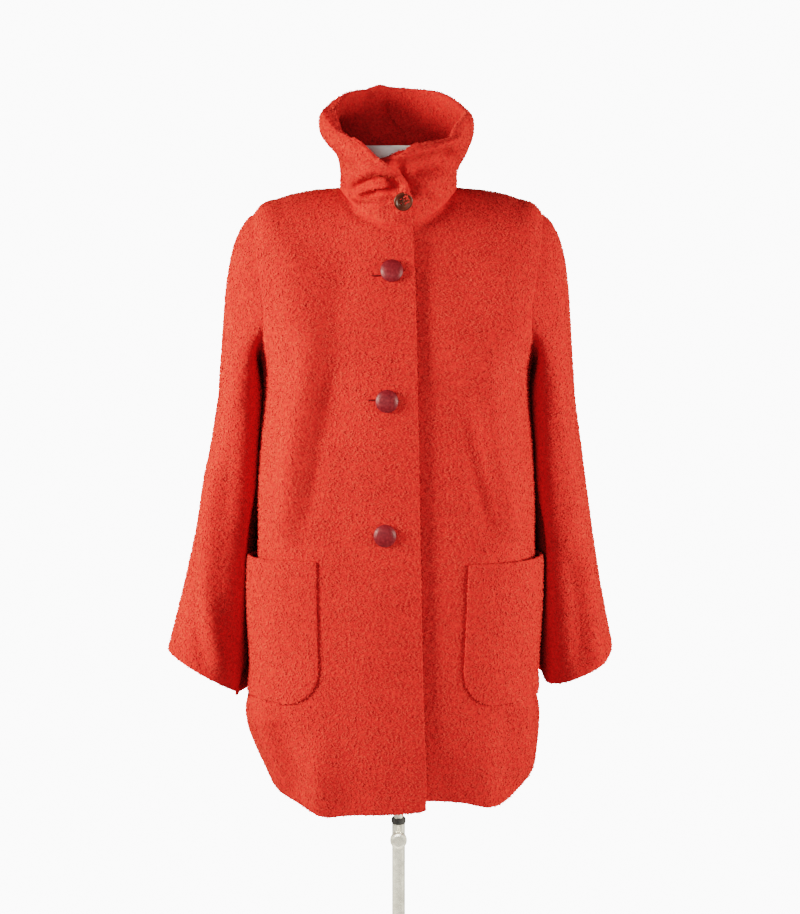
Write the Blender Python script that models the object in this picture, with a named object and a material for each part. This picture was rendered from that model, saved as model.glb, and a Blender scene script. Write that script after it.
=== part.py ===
"""Short coat of thick brushed cloth, buttoned on a limbless dress form with a pole stand.

Metres, +Z up, the coat's front faces -Y. Left and right are the wearer's, so right is -X.
Every cloth piece is a closed wall on one shared garment surface. An angle of 0 is the centre
front, a positive angle turns towards the wearer's left, and a place counts down the sections.
"""
import math

import bmesh
import bpy
import numpy as np

# Driving sizes
CLOTH = 0.003
COLLAR_CLOTH = 0.005
SEAM_GAP = 0.0003
COLLAR_SEAM_GAP = 0.0006
POCKET_GAP = 0.0009
BUTTON_GAP = 0.0001
LAP_OFFSET = 0.005
LAP_FULL_X = 0.015
LAP_END_X = 0.085
UNDER_EDGE_X = -0.038

BODY_COLUMNS = ("z_front", "z_side", "z_back", "right_half", "left_half", "front", "back", "corner")
CORNER_COLUMN = BODY_COLUMNS.index("corner")
HALF_PI = 0.5 * math.pi
COLUMN_SPREAD = 0.76
BODY_SECTIONS = (
    # neckline
    (1.364, 1.409, 1.418, 0.077, 0.077, 0.100, 0.068, 1.00),
    # inner shoulder
    (1.330, 1.406, 1.396, 0.117, 0.117, 0.110, 0.088, 0.98),
    # middle shoulder
    (1.285, 1.397, 1.360, 0.155, 0.155, 0.123, 0.106, 0.92),
    # shoulder tip
    (1.238, 1.377, 1.305, 0.190, 0.189, 0.137, 0.119, 0.84),
    # middle of the armhole
    (1.198, 1.285, 1.245, 0.213, 0.211, 0.147, 0.126, 0.78),
    # underarm
    (1.150, 1.178, 1.170, 0.182, 0.179, 0.153, 0.130, 0.74),
    # waist
    (1.060, 1.060, 1.060, 0.187, 0.182, 0.156, 0.133, 0.68),
    # pocket mouth
    (0.930, 0.930, 0.930, 0.192, 0.186, 0.157, 0.139, 0.70),
    # hip
    (0.780, 0.780, 0.780, 0.201, 0.189, 0.157, 0.147, 0.78),
    # below the pockets
    (0.690, 0.690, 0.690, 0.207, 0.192, 0.156, 0.152, 0.88),
    # lowest reach of the hem
    (0.580, 0.580, 0.580, 0.160, 0.180, 0.153, 0.155, 0.97),
)
# Hollow in the body's sides where the sleeves lie: depth, places it begins, is full, leaves and ends, and y
SIDE_HOLLOW = 0.013
SIDE_HOLLOW_PLACES = (4.6, 5.4, 7.9, 9.0)
SIDE_HOLLOW_Y = (-0.070, -0.012)
SHOULDER_PLACE = 3.0
UNDERARM_PLACE = 5.0
HEM_PLACE = 10.0

# Hem heights round the coat, by angle in degrees
HEM_COLUMNS = ("angle", "z")
RIGHT_HEM = (
    (10.0, 0.605), (-2.0, 0.602), (-18.0, 0.598), (-30.0, 0.593), (-36.0, 0.593), (-41.0, 0.598),
    (-53.0, 0.601), (-62.0, 0.604), (-76.0, 0.613), (-90.0, 0.622),
)
LEFT_HEM = (
    (-12.0, 0.617), (13.0, 0.616), (27.0, 0.611), (38.0, 0.602), (45.0, 0.602), (53.0, 0.606),
    (62.0, 0.614), (74.0, 0.627), (90.0, 0.634),
)
BACK_HEM = ((90.0, 0.634), (120.0, 0.622), (180.0, 0.612), (235.0, 0.616), (270.0, 0.622))

# Armhole, as the angle that it takes out of the body on each side of the seam
ARMHOLE_BITE = math.radians(40.0)
ARMHOLE_FULLNESS = 0.7
ARMHOLE_STEPS = 10

# Overlapping front edge, from neckline to hem
EDGE_COLUMNS = ("z", "x")
EDGE_LINE = (
    (1.365, 0.017),
    (1.250, 0.021),
    (1.050, 0.025),
    (0.800, 0.028),
    (0.605, 0.033),
)

# Soft folds: face -1 is the front, 1 the back; a line from top to bottom, its width and height
FOLD_COLUMNS = ("face", "x_top", "z_top", "x_low", "z_low", "width", "height")
BODY_FOLDS = (
    # right breast down to the pocket, with the hollow beside it
    (-1, -0.118, 1.250, -0.142, 1.010, 0.034, 0.009),
    (-1, -0.078, 1.140, -0.104, 1.020, 0.030, -0.004),
    # left side fold above the pocket
    (-1, 0.112, 1.180, 0.140, 1.010, 0.030, 0.007),
    (-1, 0.078, 1.120, 0.100, 1.010, 0.028, -0.004),
    # hem wave on the right front and the tucked side
    (-1, -0.100, 0.650, -0.102, 0.560, 0.028, 0.010),
    (-1, 0.118, 0.650, 0.120, 0.560, 0.026, 0.007),
    (-1, 0.066, 0.650, 0.064, 0.560, 0.024, -0.004),
    # back folds from the shoulder blades to the hem
    (1, -0.085, 1.180, -0.112, 0.560, 0.030, 0.010),
    (1, 0.080, 1.150, 0.104, 0.560, 0.032, 0.009),
    (1, 0.004, 1.000, 0.008, 0.560, 0.034, -0.006),
)

# Collar, from the neckline up to the rim
COLLAR_SECTIONS = (
    BODY_SECTIONS[0][:CORNER_COLUMN],
    # lower band
    (1.391, 1.432, 1.448, 0.076, 0.077, 0.107, 0.068),
    # upper band
    (1.418, 1.458, 1.484, 0.082, 0.089, 0.111, 0.080),
    # flare
    (1.443, 1.484, 1.514, 0.102, 0.098, 0.113, 0.096),
    # rim
    (1.467, 1.512, 1.541, 0.104, 0.098, 0.113, 0.104),
)
COLLAR_PLACES = (0.0, 0.5, 1.0, 1.5, 2.0, 2.5, 3.0, 3.5, 4.0)
COLLAR_COLUMNS = 40
COLLAR_OVER_EDGE_COLUMNS = ("place", "x")
COLLAR_OVER_EDGE = (
    (0.0, 0.018), (0.5, 0.014), (1.0, 0.0135), (1.4, 0.0145), (1.7, 0.0110), (2.0, 0.0075), (2.3, 0.005),
    (2.6, 0.001), (3.0, -0.008), (3.3, -0.018), (3.65, -0.032), (4.0, -0.047),
)
COLLAR_UNDER_EDGE_X = -0.032
COLLAR_BACK_SHOULDER = 0.008
COLLAR_RIM_CLOTH = 0.012
# Where the rim rolls over thickest: its angle, spread in degrees and extra thickness
COLLAR_ROLL = (-95.0, 38.0, 0.012)
# How far the rim's outer edge rounds inwards
COLLAR_RIM_ROUND = 0.003
# Rise of the rim, by angle in degrees from the upper end round the back to the lower end
COLLAR_RIM_COLUMNS = ("angle", "rise")
COLLAR_RIM = (
    (-10.0, -0.012), (-20.0, -0.012), (-28.0, -0.010), (-40.0, -0.009), (-50.0, -0.012), (-60.0, -0.012),
    (-75.0, -0.006), (-95.0, -0.002), (-130.0, -0.002), (-152.0, -0.004), (-164.0, 0.002), (-173.0, -0.002),
    (-200.0, -0.005), (-235.0, -0.006), (-265.0, -0.005), (-290.0, -0.008), (-312.0, -0.013), (-325.0, -0.009),
    (-336.0, -0.005), (-346.0, -0.003), (-353.0, -0.006), (-359.0, -0.012), (-366.0, -0.018), (-371.0, -0.022),
    (-380.0, -0.027),
)
COLLAR_FOLDS = (
    # buckle of the upper end beside its button
    (-1, -0.062, 1.398, -0.012, 1.406, 0.013, -0.006),
    (-1, -0.058, 1.418, -0.020, 1.424, 0.012, 0.004),
    # hollow below the rolled rim of the under end
    (-1, 0.030, 1.440, 0.062, 1.446, 0.014, -0.007),
)

# Sleeves: distances outwards from the middle, front and back along Y
SLEEVE_COLUMNS = (
    "z", "outer", "inner", "front", "back", "lean", "corner", "out_tilt", "back_tilt",
)
RIGHT_SLEEVE = (
    # below the armhole
    (1.140, 0.239, 0.169, -0.093, 0.077, 0.00, 0.94, 0.00, 0.00),
    # elbow
    (1.000, 0.263, 0.172, -0.082, 0.077, 0.00, 0.96, 0.08, 0.00),
    # forearm
    (0.876, 0.289, 0.184, -0.076, 0.073, 0.00, 1.00, 0.18, 0.00),
    # cuff
    (0.756, 0.314, 0.198, -0.074, 0.070, 0.00, 1.00, 0.55, -0.11),
)
LEFT_SLEEVE = (
    # below the armhole
    (1.140, 0.234, 0.166, -0.090, 0.076, 0.00, 0.94, 0.00, 0.00),
    # elbow
    (1.000, 0.254, 0.169, -0.082, 0.074, 0.00, 0.96, 0.06, 0.02),
    # forearm
    (0.880, 0.272, 0.179, -0.076, 0.070, 0.00, 0.96, 0.14, 0.06),
    # cuff
    (0.773, 0.291, 0.191, -0.072, 0.066, 0.00, 0.94, 0.42, 0.14),
)
CAP_STEPS = (0.0, 0.14, 0.32, 0.54, 0.78, 1.0)
SLEEVE_STEPS = 8
CAP_OUT = (0.100, 0.020)
CAP_ROUND = 0.30
CAP_DROP_AT_START = 0.68
CAP_DOWN = (0.280, 0.050)
CAP_SQUARE = 0.003
SLEEVE_TUCK = 0.030
SLEEVE_CLEARANCE = 0.0026
POCKET_CLEARANCE = 0.015
SLEEVE_EASE = 0.004

# Patch pockets
POCKET_COLUMNS = ("side", "inner_x", "mouth_inner_z", "mouth_outer_z", "foot_z", "bulge")
POCKETS = {
    "pocket_right": (-1, 0.107, 0.935, 0.926, 0.741, 0.011),
    "pocket_left": (1, 0.091, 0.931, 0.928, 0.741, 0.008),
}
POCKET_OUTER_ANGLE = math.radians(86.0)
POCKET_CORNER = 0.052
POCKET_ROWS = (0.0, 0.04, 0.12, 0.27, 0.45, 0.64, 0.83, 1.0)
POCKET_STEPS = 11
POCKET_BULGE_SHIFT = 1.6
POCKET_OUTER_EASE = 0.0016

# Buttons: place on the coat's front and radius
BUTTON_COLUMNS = ("x", "z")
FRONT_BUTTONS = {
    "button_top": (-0.0085, 1.3075),
    "button_middle": (-0.0145, 1.1450),
    "button_bottom": (-0.0172, 0.9725),
}
BUTTON_RADIUS = 0.0148
BUTTON_HEIGHT = 0.0085
BUTTON_SIDES = 20
COLLAR_BUTTON_AT = (0.0060, 1.397)
COLLAR_BUTTON_RADIUS = 0.0122
COLLAR_BUTTON_HEIGHT = 0.0042
BUTTON_HOLE_RADIUS = 0.0013
BUTTON_HOLE_SPREAD = 0.0028

# Dress form: the same section columns as the body, from the neck's top to the underside
FORM_SECTIONS = (
    (1.4660, 1.4660, 1.4660, 0.044, 0.044, 0.046, 0.044),
    (1.4610, 1.4610, 1.4610, 0.050, 0.050, 0.053, 0.050),
    (1.4200, 1.4300, 1.4350, 0.053, 0.053, 0.060, 0.050),
    (1.3700, 1.4080, 1.4160, 0.067, 0.067, 0.080, 0.056),
    (1.3250, 1.3982, 1.3880, 0.117, 0.117, 0.096, 0.078),
    (1.2800, 1.3882, 1.3480, 0.155, 0.155, 0.108, 0.094),
    (1.2300, 1.3740, 1.2900, 0.178, 0.178, 0.118, 0.102),
    (1.2000, 1.2800, 1.2500, 0.170, 0.170, 0.130, 0.106),
    (1.1500, 1.1800, 1.1700, 0.150, 0.150, 0.132, 0.102),
    (1.0500, 1.0500, 1.0500, 0.122, 0.122, 0.108, 0.086),
    (0.9100, 0.9100, 0.9100, 0.158, 0.158, 0.118, 0.112),
    (0.8100, 0.8100, 0.8100, 0.166, 0.166, 0.120, 0.118),
    (0.7700, 0.7700, 0.7700, 0.164, 0.164, 0.118, 0.115),
    (0.7600, 0.7600, 0.7600, 0.156, 0.156, 0.110, 0.107),
)
FORM_SIDES = 28
FORM_BORE_RADIUS = 0.0071
FORM_BORE_TOP = 0.836

# Pole stand
POLE_SIDES = 24
INNER_POLE_RADIUS = 0.0065
INNER_POLE_ENDS = (0.200, 0.8355)
OUTER_POLE_RADIUS = 0.0090
OUTER_POLE_BORE = 0.0069
OUTER_POLE_ENDS = (0.0123, 0.5370)
SEAL_RADIUS = 0.0100
SEAL_TOP = 0.5455
SCREW_Z = 0.5200
SCREW_RADIUS = 0.0030
SCREW_HOLE_RADIUS = 0.0034
BOSS_RADIUS = 0.0065
BOSS_LENGTH = 0.0090
KNOB_RADIUS = 0.0116
KNOB_THICKNESS = 0.0100
BASE_RADIUS = 0.1700
BASE_RIM_HEIGHT = 0.0090
HUB_RADIUS = 0.0260
HUB_HEIGHT = 0.0300
HUB_BORE = 0.0093
HUB_FLOOR = 0.0120


# Small helpers
def smoothstep(value, low, high):
    part = np.clip((np.asarray(value, float) - low) / (high - low), 0.0, 1.0)
    return part * part * (3.0 - 2.0 * part)


def unit(vectors):
    length = np.linalg.norm(vectors, axis=-1, keepdims=True)
    return vectors / np.maximum(length, 1e-12)


def section_value(sections, column, place):
    """A smooth curve through one column of a section table."""
    values = np.array([row[column] for row in sections], float)
    place = np.asarray(place, float)
    step = np.clip(np.floor(place).astype(int), 0, len(values) - 2)
    part = place - step
    last = len(values) - 1
    before = values[np.maximum(step - 1, 0)]
    start = values[step]
    end = values[step + 1]
    after = values[np.minimum(step + 2, last)]
    slope_in = 0.5 * (end - before)
    slope_out = 0.5 * (after - start)
    square = part * part
    cube = square * part
    return (
        (2 * cube - 3 * square + 1) * start
        + (cube - 2 * square + part) * slope_in
        + (3 * square - 2 * cube) * end
        + (cube - square) * slope_out
    )


def line_value(table, at):
    """A straight-line reading of a two-column table, in either order."""
    rows = sorted(table)
    return np.interp(at, [row[0] for row in rows], [row[1] for row in rows])


# The garment surface
def corner_at(sections, place):
    """How square a section is: 1 is an ellipse and less is squarer."""
    if len(sections[-1]) > CORNER_COLUMN:
        return section_value(sections, CORNER_COLUMN, place)
    return np.ones(np.shape(place))


def side_hollow(sections, place, y):
    """How far the side of a section is pressed in beside the sleeve."""
    if sections is not BODY_SECTIONS:
        return 0.0 * y
    begin, full, leave, end = SIDE_HOLLOW_PLACES
    share = smoothstep(place, begin, full) * (1.0 - smoothstep(place, leave, end))
    return SIDE_HOLLOW * share * smoothstep(y, *SIDE_HOLLOW_Y)


def respace(angle, power):
    """Angles moved within each quarter turn, so that columns spread evenly over squared corners."""
    quarter = np.floor(angle / HALF_PI) * HALF_PI
    inside = np.clip(angle - quarter, 0.0, HALF_PI)
    return quarter + np.arctan2(np.sin(inside) ** power, np.cos(inside) ** power)


def angle_for(x, half, corner):
    """The angle at which a section of this half width reaches x."""
    part = np.clip(np.abs(x) / half, 0.0, 0.999)
    return np.sign(x) * np.arcsin(part ** (1.0 / corner))


def ring_point(sections, angle, place):
    angle, place = np.broadcast_arrays(np.asarray(angle, float), np.asarray(place, float))
    z_front, z_side, z_back, right_half, left_half, front, back = (
        section_value(sections, column, place) for column in range(CORNER_COLUMN)
    )
    across = np.sin(angle)
    ahead = np.cos(angle)
    corner = corner_at(sections, place)
    half = np.where(across < 0.0, right_half, left_half)
    depth = np.where(ahead > 0.0, front, back)
    end_z = np.where(ahead > 0.0, z_front, z_back)
    y = -depth * np.sign(ahead) * np.abs(ahead) ** corner
    half = half - side_hollow(sections, place, y)
    x = half * np.sign(across) * np.abs(across) ** corner
    z = z_side + (end_z - z_side) * ahead * ahead
    return np.stack([x, y, z], axis=-1)


def ring_normal(sections, angle, place):
    step = 0.002
    along = ring_point(sections, angle, place + step) - ring_point(sections, angle, place - step)
    around = ring_point(sections, angle + step, place) - ring_point(sections, angle - step, place)
    return unit(np.cross(along, around))


def fold_height(folds, points):
    """How far the soft folds lift the cloth at these points."""
    total = np.zeros(points.shape[:-1])
    for face, x_top, z_top, x_low, z_low, width, height in folds:
        run_x = x_low - x_top
        run_z = z_low - z_top
        reach = run_x * run_x + run_z * run_z
        part = ((points[..., 0] - x_top) * run_x + (points[..., 2] - z_top) * run_z) / reach
        part = np.clip(part, 0.0, 1.0)
        gap_x = points[..., 0] - (x_top + part * run_x)
        gap_z = points[..., 2] - (z_top + part * run_z)
        near = np.exp(-(gap_x * gap_x + 0.6 * gap_z * gap_z) / (width * width))
        total += height * near * smoothstep(face * points[..., 1], 0.0, 0.045)
    return total


def body_point(angle, place, out=0.0, lap=0.0):
    """A point on the coat's outside, moved out along the surface and forwards by a lap."""
    base = ring_point(BODY_SECTIONS, angle, place)
    lift = fold_height(BODY_FOLDS, base) + out
    point = base + ring_normal(BODY_SECTIONS, angle, place) * lift[..., None]
    return point + lap_shift(lap)


def lap_at(points, side):
    """How far the right front stands out over the left front near the centre."""
    near = 1.0 - smoothstep(side * points[..., 0], LAP_FULL_X, LAP_END_X)
    return -side * LAP_OFFSET * near * (points[..., 1] < 0.0)


def lap_shift(lap):
    return np.asarray(lap)[..., None] * np.array([0.0, -1.0, 0.0])


def armhole_bite(place):
    part = np.clip((place - SHOULDER_PLACE) / (UNDERARM_PLACE - SHOULDER_PLACE), 0.0, 1.0)
    return ARMHOLE_BITE * np.sin(np.pi * part) ** ARMHOLE_FULLNESS


def armhole_places():
    turn = np.linspace(0.0, math.pi, ARMHOLE_STEPS + 1)
    span = UNDERARM_PLACE - SHOULDER_PLACE
    return SHOULDER_PLACE + span * 0.5 * (1.0 - np.cos(turn))


def body_rows():
    """Places down the body as far as the underarm, and shares of the way from there to the hem."""
    above = np.linspace(0.0, SHOULDER_PLACE, 6)
    upper = np.concatenate([above[:-1], armhole_places()])
    return upper, np.linspace(0.0, 1.0, 11)[1:]


def body_grid(start_angle, end_angle, columns, hem):
    """Angles and places of a panel between two edges, ending at its hem line."""
    upper, lower = body_rows()
    part = np.linspace(0.0, 1.0, columns)
    first = UNDERARM_PLACE
    rows = np.concatenate([upper, first + lower * (HEM_PLACE - first)])
    start = respace(start_angle(rows), COLUMN_SPREAD)
    end = respace(end_angle(rows), COLUMN_SPREAD)
    angles = respace(start[:, None] + (end - start)[:, None] * part, 1.0 / COLUMN_SPREAD)
    places = np.broadcast_to(rows[:, None], angles.shape).copy()
    foot = place_at(angles[-1], line_value(hem, np.degrees(angles[-1])))
    places[len(upper):] = first + lower[:, None] * (foot - first)
    return angles, places


def place_at(angle, z):
    """The place down the body where this angle reaches this height."""
    low = np.full(np.shape(angle), 0.0)
    high = np.full(np.shape(angle), HEM_PLACE)
    for _ in range(40):
        middle = 0.5 * (low + high)
        above = ring_point(BODY_SECTIONS, angle, middle)[..., 2] > z
        low = np.where(above, middle, low)
        high = np.where(above, high, middle)
    return 0.5 * (low + high)


def angle_at(x, z):
    """The angle on the front where the body reaches this width at this height."""
    angle = np.zeros(np.shape(x))
    for _ in range(12):
        place = place_at(angle, z)
        column = 3 if np.all(np.asarray(x) < 0.0) else 4
        half = section_value(BODY_SECTIONS, column, place)
        angle = angle_for(x, half, corner_at(BODY_SECTIONS, place))
    return angle


# Meshes
def make_object(name, points, faces, material):
    mesh = bpy.data.meshes.new(name)
    body = bmesh.new()
    corners = [body.verts.new(tuple(float(value) for value in point)) for point in points]
    for face in faces:
        body.faces.new([corners[index] for index in face])
    bmesh.ops.recalc_face_normals(body, faces=body.faces)
    bmesh.ops.triangulate(body, faces=body.faces)
    body.to_mesh(mesh)
    body.free()
    mesh.materials.append(material)
    thing = bpy.data.objects.new(name, mesh)
    bpy.context.scene.collection.objects.link(thing)
    return thing


def make_wall(name, outer, inner, material, tube=False):
    """A closed wall between two grids of points; a tube joins its last column to its first."""
    rows, columns = outer.shape[:2]
    count = rows * columns
    points = np.concatenate([outer.reshape(-1, 3), inner.reshape(-1, 3)])
    steps = columns if tube else columns - 1
    faces = []

    def corner(row, column, layer):
        return layer * count + row * columns + column % columns

    for row in range(rows - 1):
        for column in range(steps):
            for layer in (0, 1):
                faces.append((
                    corner(row, column, layer),
                    corner(row, column + 1, layer),
                    corner(row + 1, column + 1, layer),
                    corner(row + 1, column, layer),
                )[:: 1 if layer == 0 else -1])
    for column in range(steps):
        for row in (0, rows - 1):
            faces.append((
                corner(row, column, 0),
                corner(row, column + 1, 0),
                corner(row, column + 1, 1),
                corner(row, column, 1),
            ))
    if not tube:
        for row in range(rows - 1):
            for column in (0, columns - 1):
                faces.append((
                    corner(row, column, 0),
                    corner(row + 1, column, 0),
                    corner(row + 1, column, 1),
                    corner(row, column, 1),
                ))
    return make_object(name, points, faces, material)


def make_loft(name, rings, material, closed_section=False):
    """A solid through closed rings; it has two end caps, or its last ring joins its first."""
    sides = len(rings[0])
    points = [point for ring in rings for point in ring]
    faces = []
    pairs = [(step, step + 1) for step in range(len(rings) - 1)]
    if closed_section:
        pairs.append((len(rings) - 1, 0))
    for upper, lower in pairs:
        for side in range(sides):
            after = (side + 1) % sides
            faces.append((
                upper * sides + side,
                upper * sides + after,
                lower * sides + after,
                lower * sides + side,
            ))
    if not closed_section:
        for ring in (0, len(rings) - 1):
            points.append(np.mean(np.asarray(rings[ring]), axis=0))
            middle = len(points) - 1
            for side in range(sides):
                faces.append((ring * sides + side, ring * sides + (side + 1) % sides, middle))
    return make_object(name, points, faces, material)


def lathe_rings(profile, sides):
    turn = np.linspace(0.0, 2.0 * math.pi, sides, endpoint=False)
    return [
        np.stack([radius * np.cos(turn), radius * np.sin(turn), np.full(sides, z)], axis=-1)
        for radius, z in profile
    ]


def aim(rings, place, direction):
    """Rings made along +Z, set at a place with +Z turned to a direction."""
    up = unit(np.asarray(direction, float))
    helper = np.array([0.0, 0.0, 1.0]) if abs(up[2]) < 0.9 else np.array([0.0, 1.0, 0.0])
    side = unit(np.cross(helper, up))
    ahead = np.cross(up, side)
    turned = np.stack([side, ahead, up])
    return [np.asarray(ring) @ turned + np.asarray(place) for ring in rings]


def cut_away(thing, cutter):
    """Cuts a closed tool out of a solid and removes the tool."""
    cutter.hide_render = True
    cutter.display_type = "WIRE"
    cut = thing.modifiers.new("cut", "BOOLEAN")
    cut.operation = "DIFFERENCE"
    cut.solver = "EXACT"
    cut.object = cutter
    bpy.context.view_layer.update()
    seen = thing.evaluated_get(bpy.context.evaluated_depsgraph_get())
    mesh = bpy.data.meshes.new_from_object(seen)
    thing.modifiers.remove(cut)
    thing.data = mesh
    bpy.data.objects.remove(cutter)


def make_material(name, colour, roughness, metallic=0.0):
    material = bpy.data.materials.new(name)
    material.use_nodes = True
    shader = material.node_tree.nodes["Principled BSDF"]
    shader.inputs["Base Color"].default_value = (*colour, 1.0)
    shader.inputs["Roughness"].default_value = roughness
    shader.inputs["Metallic"].default_value = metallic
    return material


# Cloth pieces
def body_wall(name, angles, places, lap, material):
    outer = body_point(angles, places, 0.0, lap)
    inner = body_point(angles, places, -CLOTH, lap)
    return make_wall(name, outer, inner, material)


def seam_angle(places):
    """The angle taken off at a side or shoulder seam for half the gap between the pieces."""
    half = section_value(BODY_SECTIONS, 6, places)
    return 0.5 * SEAM_GAP / half


def make_front(name, side, material, columns=12):
    """A front; side -1 is the right front, which laps over the left."""

    def edge(rows):
        heights = section_value(BODY_SECTIONS, 0, rows)
        edge_x = line_value(EDGE_LINE, heights) if side < 0 else UNDER_EDGE_X
        half = section_value(BODY_SECTIONS, 4 if side < 0 else 3, rows)
        return angle_for(edge_x, half, corner_at(BODY_SECTIONS, rows))

    def seam(rows):
        return side * (0.5 * math.pi - armhole_bite(rows) - seam_angle(rows))

    hem = RIGHT_HEM if side < 0 else LEFT_HEM
    angles, places = body_grid(edge, seam, columns, hem)
    base = ring_point(BODY_SECTIONS, angles, places)
    return body_wall(name, angles, places, lap_at(base, side), material)


def make_back(name, material, columns=20):
    def left_seam(rows):
        return 0.5 * math.pi + armhole_bite(rows) + seam_angle(rows)

    def right_seam(rows):
        return 2.0 * math.pi - left_seam(rows)

    angles, places = body_grid(left_seam, right_seam, columns, BACK_HEM)
    return body_wall(name, angles, places, np.zeros(angles.shape), material)


def armhole_ring(side, lift):
    """The armhole's edge from the shoulder tip down the front and up the back."""
    places = armhole_places()
    bite = armhole_bite(places)
    down = body_point(side * (0.5 * math.pi - bite), places, lift)
    up = body_point(side * (0.5 * math.pi + bite), places, lift)
    return np.concatenate([down, up[-2:0:-1]])


def body_half(side, y, z):
    """How far out the body reaches at this depth and height."""
    heights = [row[1] for row in reversed(BODY_SECTIONS)]
    place = len(heights) - 1 - np.interp(z, heights, np.arange(len(heights)))
    half = section_value(BODY_SECTIONS, 3 if side < 0 else 4, place)
    half = half - side_hollow(BODY_SECTIONS, place, y)
    depth = np.where(y < 0.0, section_value(BODY_SECTIONS, 5, place), section_value(BODY_SECTIONS, 6, place))
    corner = corner_at(BODY_SECTIONS, place)
    away = np.clip(np.abs(y) / depth, 0.0, 1.0)
    return half * (1.0 - away ** (2.0 / corner)) ** (0.5 * corner)


def sleeve_ring(table, side, place, turn):
    z, outer, inner, front, back, lean, corner, out_tilt, back_tilt = (
        section_value(table, column, place) for column in range(len(SLEEVE_COLUMNS))
    )
    outward = np.sign(np.cos(turn)) * np.abs(np.cos(turn)) ** corner
    ahead = np.sign(np.sin(turn)) * np.abs(np.sin(turn)) ** corner
    shift_y = -0.5 * (back - front) * ahead
    shift_out = 0.5 * (outer - inner) * outward
    out = 0.5 * (outer + inner) + shift_out + lean * shift_y
    y = 0.5 * (front + back) + shift_y - lean * shift_out
    height = z + out_tilt * shift_out + back_tilt * shift_y
    out = out - SLEEVE_TUCK * smoothstep(y, 0.0, 0.05) * 0.5 * (1.0 - outward)
    beside_pocket = smoothstep(-height, -1.04, -0.94) * smoothstep(-y, -0.045, 0.005)
    clear = SLEEVE_CLEARANCE + beside_pocket * (POCKET_CLEARANCE - SLEEVE_CLEARANCE)
    least = body_half(side, y, height) + clear
    out = 0.5 * (out + least + np.sqrt((out - least) ** 2 + SLEEVE_EASE ** 2))
    return np.stack([side * out, y, height], axis=-1)


def sleeve_grid(table, side):
    """The sleeve's outside: a cap that turns from the armhole, then rings down to the cuff."""
    ring = armhole_ring(side, 0.0)
    turn = np.linspace(0.0, 2.0 * math.pi, len(ring), endpoint=False)
    into = unit(np.mean(ring, axis=0) - ring)
    start = ring + into * SEAM_GAP
    end = sleeve_ring(table, side, 0.0, turn)
    top = 0.5 * (1.0 + np.cos(turn))
    out_speed = CAP_OUT[1] + (CAP_OUT[0] - CAP_OUT[1]) * top
    down_speed = CAP_DOWN[1] + (CAP_DOWN[0] - CAP_DOWN[1]) * top
    leave_back = CAP_ROUND * out_speed * np.sin(turn)
    leave = np.stack([side * out_speed, leave_back, -CAP_DROP_AT_START * out_speed], axis=-1)
    arrive = np.stack([0.0 * turn, 0.0 * turn, -down_speed], axis=-1)
    rows = []
    for part in CAP_STEPS:
        square = part * part
        cube = square * part
        swell = side * CAP_SQUARE * math.sin(2.0 * math.pi * part) * top ** 2
        rows.append(
            (2 * cube - 3 * square + 1) * start
            + (cube - 2 * square + part) * leave
            + (3 * square - 2 * cube) * end
            + (cube - square) * arrive
            + np.stack([swell, 0.0 * turn, 0.0 * turn], axis=-1)
        )
    for place in np.linspace(0.0, len(table) - 1.0, SLEEVE_STEPS + 1)[1:]:
        rows.append(sleeve_ring(table, side, place, turn))
    return np.stack(rows), into


def grid_normals(grid, facing):
    """Normals of a tube's grid, turned outwards."""
    around = np.roll(grid, -1, axis=1) - np.roll(grid, 1, axis=1)
    along = np.gradient(grid, axis=0)
    return unit(np.cross(around, along)) * facing


def make_sleeve(name, table, side, material):
    outer, into = sleeve_grid(table, side)
    normals = grid_normals(outer, side)
    inner = outer - normals * CLOTH
    inner[0] = armhole_ring(side, -CLOTH) + into * SEAM_GAP
    return make_wall(name, outer, inner, material, tube=True)


def collar_point(angle, place, out, lap):
    base = ring_point(COLLAR_SECTIONS, angle, place)
    behind = np.sin(2.0 * angle) ** 2 * (np.cos(angle) < 0.0)
    share = place / COLLAR_PLACES[-1]
    base[..., 2] += COLLAR_BACK_SHOULDER * behind * share ** 2
    base[..., 2] += line_value(COLLAR_RIM, np.degrees(angle)) * share ** 1.5
    folds = fold_height(COLLAR_FOLDS, base) * smoothstep(place, 0.1, 0.7)
    normal = -ring_normal(COLLAR_SECTIONS, angle, place)
    point = base + normal * (folds + out)[..., None]
    return point + lap_shift(lap) + np.array([0.0, 0.0, COLLAR_SEAM_GAP])


def collar_frame():
    """Angles, places, lap and thickness of the collar, from the upper end round the back."""
    rows = np.array(COLLAR_PLACES)
    half = section_value(COLLAR_SECTIONS, 4, rows)
    over = np.arcsin(line_value(COLLAR_OVER_EDGE, rows) / half)
    under = 2.0 * math.pi - np.arcsin(COLLAR_UNDER_EDGE_X / half)
    part = np.linspace(0.0, 1.0, COLLAR_COLUMNS)
    angles = over[:, None] - (over + under)[:, None] * part
    places = np.broadcast_to(rows[:, None], angles.shape)
    base = ring_point(COLLAR_SECTIONS, angles, places)
    lap = np.where(angles > -math.pi, lap_at(base, -1), lap_at(base, 1))
    roll = smoothstep(places, 2.4, 3.8) * smoothstep(part, 0.03, 0.10)
    middle, spread, extra = COLLAR_ROLL
    fuller = extra * np.exp(-((np.degrees(angles) - middle) / spread) ** 2)
    thick = COLLAR_CLOTH + (COLLAR_RIM_CLOTH - COLLAR_CLOTH + fuller) * roll
    return angles, places, lap, thick


def make_collar(name, material):
    angles, places, lap, thick = collar_frame()
    rounding = COLLAR_RIM_ROUND * smoothstep(places, 3.5, 4.0) ** 2
    outer = collar_point(angles, places, -rounding, lap)
    inner = collar_point(angles, places, -thick, lap)
    return make_wall(name, outer, inner, material)


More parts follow.
